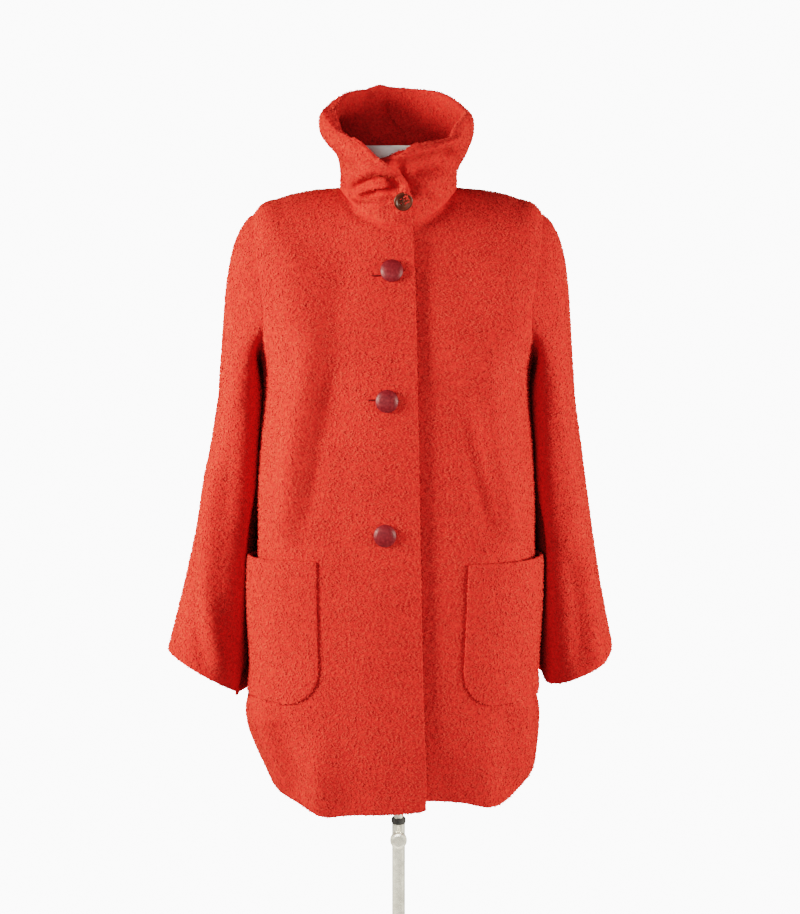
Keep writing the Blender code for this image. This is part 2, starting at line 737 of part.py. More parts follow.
def make_pocket(name, row, material):
    side, inner_x, mouth_inner_z, mouth_outer_z, foot_z, bulge = row
    heights = np.array(POCKET_ROWS)[:, None]
    across = np.linspace(0.0, 1.0, POCKET_STEPS)[None, :]
    tall = mouth_inner_z - foot_z
    rise = np.minimum(heights * tall, POCKET_CORNER)
    inset = POCKET_CORNER - np.sqrt(POCKET_CORNER ** 2 - (POCKET_CORNER - rise) ** 2)
    inner_angle = abs(float(angle_at(np.array(side * inner_x), mouth_inner_z)))
    wide = 0.5 * (0.19 + 0.157) * (POCKET_OUTER_ANGLE - inner_angle)
    narrow = inset / wide
    run = narrow + across * (1.0 - 2.0 * narrow)
    angles = side * (inner_angle + (POCKET_OUTER_ANGLE - inner_angle) * run)
    mouth = mouth_inner_z + (mouth_outer_z - mouth_inner_z) * run
    z = foot_z + heights * (mouth - foot_z)
    places = place_at(angles, z)
    belly = np.sin(math.pi * across ** POCKET_BULGE_SHIFT) * smoothstep(heights, 0.0, 0.9)
    stand_off = POCKET_GAP + POCKET_OUTER_EASE * smoothstep(across, 0.5, 0.95) + bulge * belly
    outer = body_point(angles, places, stand_off + CLOTH)
    inner = body_point(angles, places, stand_off)
    return make_wall(name, outer, inner, material)


# Buttons
def front_seat(x, z):
    """Where a button sits on the right front, and which way it faces."""
    angle = angle_at(np.array(x), z)
    place = place_at(angle, z)
    base = ring_point(BODY_SECTIONS, angle, place)
    seat = body_point(angle, place, 0.0, lap_at(base, -1))
    return seat, ring_normal(BODY_SECTIONS, angle, place)


def make_front_button(name, x, z, material):
    seat, facing = front_seat(x, z)
    edge = BUTTON_RADIUS
    tall = BUTTON_HEIGHT
    profile = (
        (0.55 * edge, 0.0),
        (0.90 * edge, 0.10 * tall),
        (edge, 0.32 * tall),
        (0.97 * edge, 0.52 * tall),
        (0.86 * edge, 0.70 * tall),
        (0.62 * edge, 0.88 * tall),
        (0.30 * edge, 0.98 * tall),
    )
    rings = aim(lathe_rings(profile, BUTTON_SIDES), seat + facing * BUTTON_GAP, facing)
    return make_loft(name, rings, material)


def collar_seat():
    x, z = COLLAR_BUTTON_AT
    places = np.linspace(0.0, 4.0, 401)
    half = section_value(COLLAR_SECTIONS, 4, places)
    angles = np.arcsin(x / half)
    base = ring_point(COLLAR_SECTIONS, angles, places)
    nearest = int(np.argmin(np.abs(base[:, 2] - z)))
    angle = angles[nearest]
    place = places[nearest]
    seat = collar_point(angle, place, 0.0, lap_at(base[nearest], -1))
    facing = -ring_normal(COLLAR_SECTIONS, angle, place)
    return seat, facing


def make_collar_button(name, material):
    seat, facing = collar_seat()
    edge = COLLAR_BUTTON_RADIUS
    tall = COLLAR_BUTTON_HEIGHT
    profile = (
        (0.75 * edge, 0.0),
        (edge, 0.35 * tall),
        (0.98 * edge, 0.85 * tall),
        (0.88 * edge, tall),
        (0.72 * edge, 0.88 * tall),
        (0.58 * edge, 0.62 * tall),
    )
    seat = seat + facing * (BUTTON_GAP)
    button = make_loft(name, aim(lathe_rings(profile, BUTTON_SIDES), seat, facing), material)
    through = ((BUTTON_HOLE_RADIUS, -0.002), (BUTTON_HOLE_RADIUS, tall + 0.002))
    for right in (-1.0, 1.0):
        for up in (-1.0, 1.0):
            shift = np.array([right, up, 0.0]) * BUTTON_HOLE_SPREAD
            rings = [ring + shift for ring in lathe_rings(through, 8)]
            cutter = make_loft("hole_tool", aim(rings, seat, facing), material)
            cut_away(button, cutter)
    return button


# Dress form and stand
def make_form(name, material):
    turn = np.linspace(0.0, 2.0 * math.pi, FORM_SIDES, endpoint=False)
    places = np.concatenate([
        np.linspace(0.0, 3.0, 4),
        np.linspace(3.5, 6.0, 6),
        np.linspace(6.5, 9.0, 6),
        np.linspace(9.5, 11.0, 4),
        np.linspace(12.0, 13.0, 2),
    ])
    rings = [ring_point(FORM_SECTIONS, turn, place) for place in places]
    underside = FORM_SECTIONS[-1][0]
    for z in (underside, FORM_BORE_TOP):
        bore = [np.sin(turn) * FORM_BORE_RADIUS, -np.cos(turn) * FORM_BORE_RADIUS, 0.0 * turn + z]
        rings.append(np.stack(bore, axis=-1))
    return make_loft(name, rings, material)


def make_tube(name, outer_radius, inner_radius, low, high, material):
    profile = (
        (outer_radius, low), (outer_radius, high), (inner_radius, high), (inner_radius, low),
    )
    return make_loft(name, lathe_rings(profile, POLE_SIDES), material, closed_section=True)


def make_stand(chrome, black, knob_material):
    low, high = INNER_POLE_ENDS
    bevel = 0.0008
    inner_profile = (
        (INNER_POLE_RADIUS - bevel, low),
        (INNER_POLE_RADIUS, low + bevel),
        (INNER_POLE_RADIUS, high - bevel),
        (INNER_POLE_RADIUS - bevel, high),
    )
    make_loft("inner_pole", lathe_rings(inner_profile, POLE_SIDES), chrome)

    front = np.array([0.0, -1.0, 0.0])
    screw_at = np.array([0.0, 0.0, SCREW_Z])
    outer_pole = make_tube(
        "outer_pole", OUTER_POLE_RADIUS, OUTER_POLE_BORE, *OUTER_POLE_ENDS, chrome
    )
    hole = ((SCREW_HOLE_RADIUS, 0.002), (SCREW_HOLE_RADIUS, 0.020))
    cut_away(outer_pole, make_loft("hole_tool", aim(lathe_rings(hole, 16), screw_at, front), chrome))

    seal_low = OUTER_POLE_ENDS[1] + SEAM_GAP
    seal_profile = (
        (SEAL_RADIUS - 0.0012, seal_low),
        (SEAL_RADIUS, seal_low + 0.0015),
        (SEAL_RADIUS, SEAL_TOP - 0.0020),
        (SEAL_RADIUS - 0.0015, SEAL_TOP),
        (OUTER_POLE_BORE, SEAL_TOP),
        (OUTER_POLE_BORE, seal_low),
    )
    make_loft("pole_seal", lathe_rings(seal_profile, POLE_SIDES), black, closed_section=True)

    boss_start = OUTER_POLE_RADIUS + SEAM_GAP
    boss_end = boss_start + BOSS_LENGTH
    boss_profile = (
        (BOSS_RADIUS, boss_start),
        (BOSS_RADIUS, boss_end),
        (SCREW_HOLE_RADIUS, boss_end),
        (SCREW_HOLE_RADIUS, boss_start),
    )
    boss = aim(lathe_rings(boss_profile, 16), screw_at, front)
    make_loft("clamp_boss", boss, chrome, closed_section=True)

    knob_start = boss_end + SEAM_GAP
    knob_end = knob_start + KNOB_THICKNESS
    knob_profile = (
        (SCREW_RADIUS, INNER_POLE_RADIUS + SEAM_GAP),
        (SCREW_RADIUS, knob_start),
        (KNOB_RADIUS - 0.0010, knob_start),
        (KNOB_RADIUS, knob_start + 0.0012),
        (KNOB_RADIUS, knob_end - 0.0030),
        (KNOB_RADIUS - 0.0012, knob_end - 0.0010),
        (KNOB_RADIUS - 0.0040, knob_end),
    )
    make_loft("clamp_knob", aim(lathe_rings(knob_profile, 20), screw_at, front), knob_material)

    base_profile = (
        (HUB_BORE, HUB_FLOOR),
        (HUB_BORE, HUB_HEIGHT),
        (HUB_RADIUS - 0.006, HUB_HEIGHT),
        (HUB_RADIUS, HUB_HEIGHT - 0.006),
        (HUB_RADIUS + 0.006, 0.0160),
        (0.60 * BASE_RADIUS, 0.0125),
        (BASE_RADIUS - 0.006, BASE_RIM_HEIGHT),
        (BASE_RADIUS, BASE_RIM_HEIGHT - 0.004),
        (BASE_RADIUS, 0.0),
    )
    make_loft("base_plate", lathe_rings(base_profile, 40), chrome)


# Build
for old in list(bpy.data.objects):
    bpy.data.objects.remove(old)

cloth = make_material("coat_cloth", (0.52, 0.045, 0.035), 0.95)
collar_cloth = make_material("collar_cloth", (0.54, 0.05, 0.035), 0.95)
leather = make_material("button_leather", (0.22, 0.03, 0.03), 0.45)
horn = make_material("collar_button_horn", (0.16, 0.05, 0.03), 0.35)
jersey = make_material("form_jersey", (0.80, 0.80, 0.78), 0.8)
steel = make_material("pole_chrome", (0.70, 0.67, 0.62), 0.18, 1.0)
rubber = make_material("seal_rubber", (0.02, 0.02, 0.02), 0.6)

make_front("front_right", -1, cloth)
make_front("front_left", 1, cloth)
make_back("back", cloth)
make_sleeve("sleeve_right", RIGHT_SLEEVE, -1, cloth)
make_sleeve("sleeve_left", LEFT_SLEEVE, 1, cloth)
make_collar("collar", collar_cloth)
for pocket_name, pocket_row in POCKETS.items():
    make_pocket(pocket_name, pocket_row, cloth)
for button_name, (button_x, button_z) in FRONT_BUTTONS.items():
    make_front_button(button_name, button_x, button_z, leather)
make_collar_button("button_collar", horn)
make_form("dress_form", jersey)
make_stand(steel, rubber, steel)
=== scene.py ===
"""Short coat of curly red pile cloth, buttoned on a dress form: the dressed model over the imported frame.

Metres, +Z up, the coat's front faces -Y. Left and right are the wearer's, so right is -X.
An angle of 0 is the centre front, a positive angle turns towards the wearer's left, and a place
counts down the sections. Every cloth piece is a thin shell with its own creases and its own pile.
"""
import math

import bpy
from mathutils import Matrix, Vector
import numpy as np


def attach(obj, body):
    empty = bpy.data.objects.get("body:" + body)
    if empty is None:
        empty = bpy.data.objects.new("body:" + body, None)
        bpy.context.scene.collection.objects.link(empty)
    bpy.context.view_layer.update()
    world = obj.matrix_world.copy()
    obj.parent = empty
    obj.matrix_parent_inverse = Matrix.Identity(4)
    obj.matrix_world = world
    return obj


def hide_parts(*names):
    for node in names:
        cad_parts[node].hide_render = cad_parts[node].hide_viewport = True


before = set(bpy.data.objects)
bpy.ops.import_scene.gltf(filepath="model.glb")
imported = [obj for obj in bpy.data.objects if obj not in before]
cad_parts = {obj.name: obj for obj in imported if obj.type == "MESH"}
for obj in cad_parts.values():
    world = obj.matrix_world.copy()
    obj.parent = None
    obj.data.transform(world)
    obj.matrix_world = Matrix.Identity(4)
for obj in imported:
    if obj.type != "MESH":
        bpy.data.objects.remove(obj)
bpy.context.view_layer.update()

# Cloth and seams
CLOTH = 0.003
COLLAR_CLOTH = 0.005
SEAM_GAP = 0.0003
COLLAR_SEAM_GAP = 0.0006
POCKET_GAP = 0.0009
BUTTON_GAP = 0.0001
LAP_OFFSET = 0.005
LAP_FULL_X = 0.015
LAP_END_X = 0.085
UNDER_EDGE_X = -0.038

HALF_PI = 0.5 * math.pi
FULL_TURN = 2.0 * math.pi
UPWARD = np.array([0.0, 0.0, 1.0])
BACKWARD = np.array([0.0, 1.0, 0.0])
# A direction that rises more steeply than this takes BACKWARD, not UPWARD, as its helper
STEEP = 0.9
# Least length to divide by, widest share of a half width, and the step for slopes
TINY = 1e-12
WIDEST_SHARE = 0.999
SLOPE_STEP = 0.002
# Halvings in the search for a place, and rounds in the search for an angle
PLACE_HALVINGS = 40
ANGLE_ROUNDS = 12

# Columns of a section table: height in front, at the side and behind, half widths, depths, corner
FRONT_Z, SIDE_Z, BACK_Z, RIGHT_HALF, LEFT_HALF, FRONT_DEPTH, BACK_DEPTH, CORNER_COLUMN = range(8)
# Coat sections from the neckline down to the lowest reach of the hem
BODY_SECTIONS = (
    (1.364, 1.409, 1.418, 0.077, 0.077, 0.100, 0.068, 1.00),
    (1.330, 1.406, 1.396, 0.117, 0.117, 0.110, 0.088, 0.98),
    (1.285, 1.397, 1.360, 0.155, 0.155, 0.123, 0.106, 0.92),
    (1.238, 1.377, 1.305, 0.190, 0.189, 0.137, 0.119, 0.84),
    (1.198, 1.285, 1.245, 0.213, 0.211, 0.147, 0.126, 0.78),
    (1.150, 1.178, 1.170, 0.182, 0.179, 0.153, 0.130, 0.74),
    (1.060, 1.060, 1.060, 0.187, 0.182, 0.156, 0.133, 0.68),
    (0.930, 0.930, 0.930, 0.192, 0.186, 0.157, 0.139, 0.70),
    (0.780, 0.780, 0.780, 0.201, 0.189, 0.157, 0.147, 0.78),
    (0.690, 0.690, 0.690, 0.207, 0.192, 0.156, 0.152, 0.88),
    (0.580, 0.580, 0.580, 0.160, 0.180, 0.153, 0.155, 0.97),
)
# Grid of a panel: rows above, along and below the armhole, columns, and how these spread round corners
SHOULDER_ROWS = 23
ARMHOLE_STEPS = 30
LOWER_ROWS = 71
FRONT_COLUMNS = 46
BACK_COLUMNS = 84
COLUMN_SPREAD = 0.76
# Hollow in the body's sides beside the sleeves: depth, places it begins, is full, leaves and ends, and y
SIDE_HOLLOW = 0.013
SIDE_HOLLOW_PLACES = (4.6, 5.4, 7.9, 9.0)
SIDE_HOLLOW_Y = (-0.070, -0.012)
SHOULDER_PLACE = 3.0
UNDERARM_PLACE = 5.0
HEM_PLACE = 10.0

# Hem heights round the coat, by angle in degrees
RIGHT_HEM = (
    (10.0, 0.605), (-2.0, 0.602), (-18.0, 0.598), (-30.0, 0.593), (-36.0, 0.593), (-41.0, 0.598),
    (-53.0, 0.601), (-62.0, 0.604), (-76.0, 0.613), (-90.0, 0.622),
)
LEFT_HEM = (
    (-12.0, 0.617), (13.0, 0.616), (27.0, 0.611), (38.0, 0.602), (45.0, 0.602), (53.0, 0.606),
    (62.0, 0.614), (74.0, 0.627), (90.0, 0.634),
)
BACK_HEM = ((90.0, 0.634), (120.0, 0.622), (180.0, 0.612), (235.0, 0.616), (270.0, 0.622))

# Armhole, as the angle that it takes out of the body on each side of the seam
ARMHOLE_BITE = math.radians(40.0)
ARMHOLE_FULLNESS = 0.7

# Overlapping front edge, height and x from neckline to hem
EDGE_LINE = ((1.365, 0.017), (1.250, 0.021), (1.050, 0.025), (0.800, 0.028), (0.605, 0.033))

# Soft folds of the body: face (-1 front, 1 back), top x and z, low x and z, width, height
BODY_FOLDS = (
    (-1, -0.118, 1.250, -0.142, 1.010, 0.034, 0.009),
    (-1, -0.078, 1.140, -0.104, 1.020, 0.030, -0.004),
    (-1, 0.112, 1.180, 0.140, 1.010, 0.030, 0.007),
    (-1, 0.078, 1.120, 0.100, 1.010, 0.028, -0.004),
    (-1, -0.100, 0.650, -0.102, 0.560, 0.028, 0.010),
    (-1, 0.118, 0.650, 0.120, 0.560, 0.026, 0.007),
    (-1, 0.066, 0.650, 0.064, 0.560, 0.024, -0.004),
    (1, -0.085, 1.180, -0.112, 0.560, 0.030, 0.010),
    (1, 0.080, 1.150, 0.104, 0.560, 0.032, 0.009),
    (1, 0.004, 1.000, 0.008, 0.560, 0.034, -0.006),
)

# Collar sections from the neckline up to the rim, with the same columns as the coat's
COLLAR_SECTIONS = (
    BODY_SECTIONS[0][:CORNER_COLUMN],
    (1.391, 1.432, 1.448, 0.076, 0.077, 0.107, 0.068),
    (1.418, 1.458, 1.484, 0.082, 0.089, 0.111, 0.080),
    (1.443, 1.484, 1.514, 0.102, 0.098, 0.113, 0.096),
    (1.467, 1.512, 1.541, 0.104, 0.098, 0.113, 0.104),
)
COLLAR_TOP = 4.0
COLLAR_OVER_EDGE = (
    (0.0, 0.018), (0.5, 0.014), (1.0, 0.0135), (1.4, 0.0145), (1.7, 0.0110), (2.0, 0.0075), (2.3, 0.005),
    (2.6, 0.001), (3.0, -0.008), (3.3, -0.018), (3.65, -0.032), (4.0, -0.047),
)
COLLAR_UNDER_EDGE_X = -0.032
COLLAR_BACK_SHOULDER = 0.008
COLLAR_RIM_CLOTH = 0.012
# Where the rim rolls over thickest: its angle, spread in degrees and extra thickness
COLLAR_ROLL = (-95.0, 38.0, 0.012)
# How far the rim's outer edge rounds inwards, and from which place
COLLAR_RIM_ROUND = 0.003
RIM_ROUND_PLACES = (3.45, 4.0)
# Places and share of the length over which the rim thickens, and where folds and back creases fade
RIM_THICK_PLACES = (2.4, 3.8)
RIM_THICK_SHARE = (0.03, 0.10)
COLLAR_FOLD_PLACES = (0.1, 0.7)
BACK_CREASE_PLACES = (3.2, 3.9)
COLLAR_RISE_POWER = 1.5
# Rows and columns of the collar's grid, and steps of the search for the button's seat
COLLAR_GRID = (57, 300)
COLLAR_SEARCH = 401
# Shares of the collar's length over which the pile ends outside and inside, and its length inside
OUTSIDE_END = (0.945, 0.96)
INSIDE_END = (0.985, 0.995)
INSIDE_START = (0.045, 0.06)
INSIDE_PILE = 0.9
INSIDE_NECK_REACH = 0.030
# Rise of the rim, by angle in degrees from the upper end round the back to the lower end
COLLAR_RIM = (
    (-10.0, -0.012), (-20.0, -0.012), (-28.0, -0.010), (-40.0, -0.009), (-50.0, -0.012), (-60.0, -0.012),
    (-75.0, -0.006), (-95.0, -0.002), (-130.0, -0.002), (-152.0, -0.004), (-164.0, 0.002),
    (-173.0, -0.002), (-200.0, -0.005), (-235.0, -0.006), (-265.0, -0.005), (-290.0, -0.008),
    (-312.0, -0.013), (-325.0, -0.009), (-336.0, -0.005), (-346.0, -0.003), (-353.0, -0.006),
    (-359.0, -0.012), (-366.0, -0.018), (-371.0, -0.022), (-380.0, -0.027),
)
COLLAR_FOLDS = (
    (-1, -0.062, 1.398, -0.012, 1.406, 0.013, -0.006),
    (-1, -0.058, 1.418, -0.020, 1.424, 0.012, 0.004),
    (-1, 0.030, 1.440, 0.062, 1.446, 0.014, -0.007),
)

# Sleeve sections: height, outer, inner, front, back, corner, outward tilt, backward tilt
RIGHT_SLEEVE = (
    (1.140, 0.239, 0.169, -0.093, 0.077, 0.94, 0.00, 0.00),
    (1.000, 0.263, 0.172, -0.082, 0.077, 0.96, 0.08, 0.00),
    (0.876, 0.289, 0.184, -0.076, 0.073, 1.00, 0.18, 0.00),
    (0.756, 0.314, 0.198, -0.074, 0.070, 1.00, 0.55, -0.11),
)
LEFT_SLEEVE = (
    (1.140, 0.234, 0.166, -0.090, 0.076, 0.94, 0.00, 0.00),
    (1.000, 0.254, 0.169, -0.082, 0.074, 0.96, 0.06, 0.02),
    (0.880, 0.272, 0.179, -0.076, 0.070, 0.96, 0.14, 0.06),
    (0.773, 0.291, 0.191, -0.072, 0.066, 0.94, 0.42, 0.14),
)
SLEEVE_COLUMN_COUNT = 8
# Sleeve cap: steps round half the armhole, rows of the cap and of the tube, and the rows' spacing
SLEEVE_STEPS = 38
CAP_ROWS = 25
TUBE_ROWS = 49
CAP_SPACING = 1.15
CAP_OUT = (0.100, 0.020)
CAP_ROUND = 0.30
CAP_DROP_AT_START = 0.68
CAP_DOWN = (0.280, 0.050)
CAP_SQUARE = 0.003
# Room between sleeve and body, and where the pocket's bulge asks for more, by height and depth
SLEEVE_TUCK = 0.030
SLEEVE_TUCK_Y = (0.0, 0.05)
SLEEVE_CLEARANCE = 0.0026
POCKET_CLEARANCE = 0.015
POCKET_SIDE_Z = (-1.04, -0.94)
POCKET_SIDE_Y = (-0.045, 0.005)
SLEEVE_EASE = 0.004

# Patch pockets: side, inner x, mouth height at the inner and outer end, foot height, bulge
POCKETS = {
    "pocket_right": (-1, 0.107, 0.935, 0.926, 0.741, 0.011),
    "pocket_left": (1, 0.091, 0.931, 0.928, 0.741, 0.008),
}
POCKET_OUTER_ANGLE = math.radians(86.0)
POCKET_CORNER = 0.052
POCKET_BULGE_SHIFT = 1.6
POCKET_BULGE_RISE = (0.0, 0.9)
POCKET_OUTER_EASE = 0.0016
POCKET_OUTER_SHARE = (0.5, 0.95)
POCKET_MEAN_RADIUS = 0.5 * (0.19 + 0.157)
POCKET_GRID = (34, 40)
POCKET_ROW_SPACING = 1.35
# Where a pocket hides the front: in from its inner edge, mouth and foot, and the depth where that ends
HIDDEN_FROM_EDGE = (0.006, 0.012)
HIDDEN_FROM_MOUTH = (-0.030, -0.020)
HIDDEN_FROM_FOOT = (0.026, 0.034)
HIDDEN_BEFORE_Y = -0.012

# Buttons: place on the front, then their sizes
FRONT_BUTTONS = {
    "button_top": (-0.0085, 1.3075),
    "button_middle": (-0.0145, 1.1450),
    "button_bottom": (-0.0172, 0.9725),
}
# Buttonholes beside the upper two buttons, and half the length and opening of the bare patch
BUTTONHOLES = {"slit_top": (-0.0280, 1.3016), "slit_middle": (-0.0320, 1.1463)}
SLIT_SIZE = (0.0078, 0.0032)
# Dark slit, painted shade in the buttonhole's opening: half length and half width, heights of its foot and
# top, narrowing and sides
SLIT_SHADE_HALF = (0.0075, 0.0013)
SLIT_HEIGHTS = (0.0004, 0.0016)
SLIT_NARROWING = 0.7
SLIT_SIDES = 20
BUTTON_RADIUS = 0.0148
BUTTON_HEIGHT = 0.0085
BUTTON_SIDES = 56
# Outline of a front button, as shares of its radius and height
BUTTON_OUTLINE = (
    (0.50, 0.0), (0.80, 0.05), (0.93, 0.13), (0.99, 0.26), (1.0, 0.36), (0.985, 0.47), (0.955, 0.55),
    (0.92, 0.60), (0.885, 0.635), (0.85, 0.68), (0.78, 0.77), (0.66, 0.865), (0.50, 0.94), (0.30, 0.985),
    (0.12, 1.0), (0.02, 1.0),
)
COLLAR_BUTTON_AT = (0.0060, 1.397)
COLLAR_BUTTON_RADIUS = 0.0122
COLLAR_BUTTON_HEIGHT = 0.0042
COLLAR_BUTTON_SIDES = 48
COLLAR_BUTTON_OUTLINE = (
    (0.75, 0.0), (0.95, 0.16), (1.0, 0.40), (0.99, 0.72), (0.95, 0.93), (0.88, 1.0), (0.80, 0.95),
    (0.71, 0.84), (0.62, 0.70), (0.54, 0.63), (0.40, 0.61), (0.05, 0.61),
)
BUTTON_HOLE_RADIUS = 0.0013
BUTTON_HOLE_SPREAD = 0.0028
BUTTON_HOLE_SIDES = 16
HOLE_TOOL_MARGIN = 0.002

# Dress form sections, with the same columns as the coat's, from the neck's top to the underside
FORM_SECTIONS = (
    (1.4660, 1.4660, 1.4660, 0.044, 0.044, 0.046, 0.044),
    (1.4610, 1.4610, 1.4610, 0.050, 0.050, 0.053, 0.050),
    (1.4200, 1.4300, 1.4350, 0.053, 0.053, 0.060, 0.050),
    (1.3700, 1.4080, 1.4160, 0.067, 0.067, 0.080, 0.056),
    (1.3250, 1.3982, 1.3880, 0.117, 0.117, 0.096, 0.078),
    (1.2800, 1.3882, 1.3480, 0.155, 0.155, 0.108, 0.094),
    (1.2300, 1.3740, 1.2900, 0.178, 0.178, 0.118, 0.102),
    (1.2000, 1.2800, 1.2500, 0.170, 0.170, 0.130, 0.106),
    (1.1500, 1.1800, 1.1700, 0.150, 0.150, 0.132, 0.102),
    (1.0500, 1.0500, 1.0500, 0.122, 0.122, 0.108, 0.086),
    (0.9100, 0.9100, 0.9100, 0.158, 0.158, 0.118, 0.112),
    (0.8100, 0.8100, 0.8100, 0.166, 0.166, 0.120, 0.118),
    (0.7700, 0.7700, 0.7700, 0.164, 0.164, 0.118, 0.115),
    (0.7600, 0.7600, 0.7600, 0.156, 0.156, 0.110, 0.107),
)
FORM_BORE_RADIUS = 0.0071
FORM_BORE_TOP = 0.836
FORM_SIDES = 72
FORM_RINGS = 105

# Small creases: face (-1 front, 1 back), width, height, then the line's points as x and z
BODY_CREASES = (
    (-1, 0.019, 0.0085, (
        (-0.106, 1.26), (-0.12, 1.157), (-0.132, 1.079), (-0.146, 0.985), (-0.156, 0.93),
    )),
    (-1, 0.018, -0.005, ((-0.086, 1.21), (-0.1, 1.11), (-0.112, 1.03), (-0.126, 0.95))),
    (-1, 0.018, 0.0035, ((-0.084, 1.11), (-0.1, 1.02), (-0.118, 0.95))),
    (-1, 0.018, 0.0078, ((0.106, 1.15), (0.124, 1.06), (0.138, 1.001), (0.15, 0.945))),
    (-1, 0.017, -0.0046, ((0.086, 1.14), (0.108, 1.04), (0.126, 0.955))),
    (-1, 0.016, 0.003, ((0.074, 1.09), (0.088, 1.01), (0.102, 0.95))),
    (-1, 0.016, 0.007, ((-0.184, 0.74), (-0.17, 0.682), (-0.158, 0.648), (-0.148, 0.59))),
    (-1, 0.015, -0.005, ((-0.164, 0.722), (-0.148, 0.668), (-0.132, 0.6))),
    (-1, 0.016, 0.003, ((-0.102, 0.72), (-0.104, 0.66), (-0.108, 0.59))),
    (-1, 0.016, 0.0055, ((0.164, 0.76), (0.17, 0.69), (0.168, 0.61))),
    (-1, 0.016, -0.004, ((0.142, 0.74), (0.146, 0.68), (0.144, 0.6))),
    (-1, 0.02, -0.003, ((-0.06, 1.34), (-0.08, 1.27), (-0.092, 1.2))),
    (-1, 0.02, -0.0026, ((0.07, 1.345), (0.088, 1.27), (0.096, 1.19))),
    (-1, 0.018, 0.003, ((-0.128, 1.35), (-0.14, 1.29), (-0.144, 1.22))),
    (-1, 0.018, 0.0026, ((0.13, 1.345), (0.142, 1.28), (0.146, 1.21))),
    (-1, 0.0055, -0.0032, (
        (-0.074, 1.4), (-0.06, 1.384), (-0.043, 1.3715), (-0.017, 1.3625), (0.012, 1.3605),
    )),
    (-1, 0.0055, -0.003, ((0.02, 1.361), (0.043, 1.3715), (0.06, 1.384), (0.074, 1.4))),
    (1, 0.016, 0.0028, ((-0.06, 1.25), (-0.078, 1.05), (-0.086, 0.86), (-0.09, 0.64))),
    (1, 0.014, -0.0022, ((-0.04, 1.02), (-0.052, 0.86), (-0.055, 0.66))),
    (1, 0.016, 0.0026, ((0.054, 1.18), (0.066, 0.98), (0.072, 0.8), (0.08, 0.63))),
    (1, 0.013, -0.002, ((0.11, 1.08), (0.126, 0.9), (0.134, 0.7))),
)
SLEEVE_CREASES = {
    -1: (
        (-1, 0.014, 0.008, (
            (-0.236, 1.1), (-0.25, 0.98), (-0.257, 0.89), (-0.25, 0.83), (-0.232, 0.75),
        )),
        (-1, 0.011, -0.0045, ((-0.268, 0.98), (-0.274, 0.88), (-0.268, 0.83), (-0.252, 0.76))),
        (-1, 0.016, 0.0026, ((-0.218, 1.318), (-0.229, 1.226), (-0.24, 1.134))),
        (-1, 0.012, -0.0024, ((-0.206, 1.15), (-0.222, 1.06), (-0.232, 0.96))),
        (-1, 0.011, 0.002, ((-0.236, 1.06), (-0.249, 0.985), (-0.256, 0.92))),
        (1, 0.014, 0.003, ((-0.215, 1.19), (-0.24, 1.04), (-0.262, 0.88))),
        (1, 0.012, -0.0026, ((-0.236, 1.16), (-0.262, 1.01), (-0.28, 0.86))),
    ),
    1: (
        (-1, 0.012, 0.005, ((0.244, 0.96), (0.257, 0.87), (0.265, 0.816), (0.271, 0.75))),
        (-1, 0.012, -0.0035, ((0.226, 0.94), (0.238, 0.86), (0.244, 0.765))),
        (-1, 0.015, 0.0024, ((0.214, 1.3), (0.224, 1.21), (0.232, 1.12))),
        (-1, 0.012, -0.0022, ((0.202, 1.14), (0.214, 1.05), (0.222, 0.95))),
        (1, 0.014, 0.0028, ((0.212, 1.17), (0.232, 1.03), (0.25, 0.87))),
        (1, 0.012, -0.0024, ((0.232, 1.12), (0.252, 0.99), (0.266, 0.84))),
    ),
}
COLLAR_CREASES = {
    # buckle of the upper end beside the button: two creases with a roll between them
    "upper": (
        (-1, 0.006, -0.0125, (
            (-0.066, 1.406), (-0.044, 1.417), (-0.03, 1.4225), (-0.016, 1.423), (0.012, 1.41),
        )),
        (-1, 0.0062, -0.012, (
            (-0.078, 1.388), (-0.05, 1.398), (-0.029, 1.405), (-0.014, 1.406), (0.008, 1.405),
        )),
        (-1, 0.0064, 0.006, ((-0.062, 1.402), (-0.034, 1.413), (-0.01, 1.4135))),
        (-1, 0.0095, 0.007, ((-0.054, 1.43), (-0.028, 1.436), (-0.002, 1.43))),
        (-1, 0.011, 0.004, ((-0.066, 1.378), (-0.04, 1.388), (-0.014, 1.39))),
    ),
    # shadow beside the upper end, and the hollow under the rolled rim of the lower end
    "lower": (
        (-1, 0.01, -0.01, ((-0.01, 1.446), (0.006, 1.43), (0.017, 1.412), (0.022, 1.396))),
        (-1, 0.012, -0.01, ((-0.01, 1.432), (0.02, 1.436), (0.05, 1.444), (0.082, 1.456))),
        (-1, 0.0065, 0.0062, (
            (-0.018, 1.448), (0.01, 1.454), (0.035, 1.461), (0.059, 1.468), (0.088, 1.482),
        )),
        (-1, 0.012, 0.005, ((0.04, 1.395), (0.056, 1.412), (0.074, 1.43))),
        (-1, 0.004, -0.0045, ((0.072, 1.4), (0.058, 1.384), (0.04, 1.37))),
    ),
    # crease and pleat down the inside of the back
    "back": (
        (1, 0.006, 0.0055, (
            (-0.022, 1.54), (-0.018, 1.522), (-0.013, 1.507), (0.0, 1.492), (0.016, 1.478),
        )),
        (1, 0.012, -0.0045, ((-0.038, 1.54), (-0.034, 1.52), (-0.027, 1.5))),
    ),
}
# Roll of the collar's upper end: height, reach, and the places over which it comes in
COLLAR_EDGE_ROLL = 0.0042
EDGE_ROLL_REACH = 0.014
EDGE_ROLL_PLACES = (0.8, 1.6)

# Creases fade over these shares of their length at both ends and where the cloth turns away
CREASE_BEGINS = (0.0, 0.22)
CREASE_ENDS = (0.80, 1.0)
CREASE_TURNS = (0.0, 0.35)
# Soft folds fade towards the coat's sides, and spread wider along than across
FOLD_Y = (0.0, 0.045)
FOLD_STRETCH = 0.6

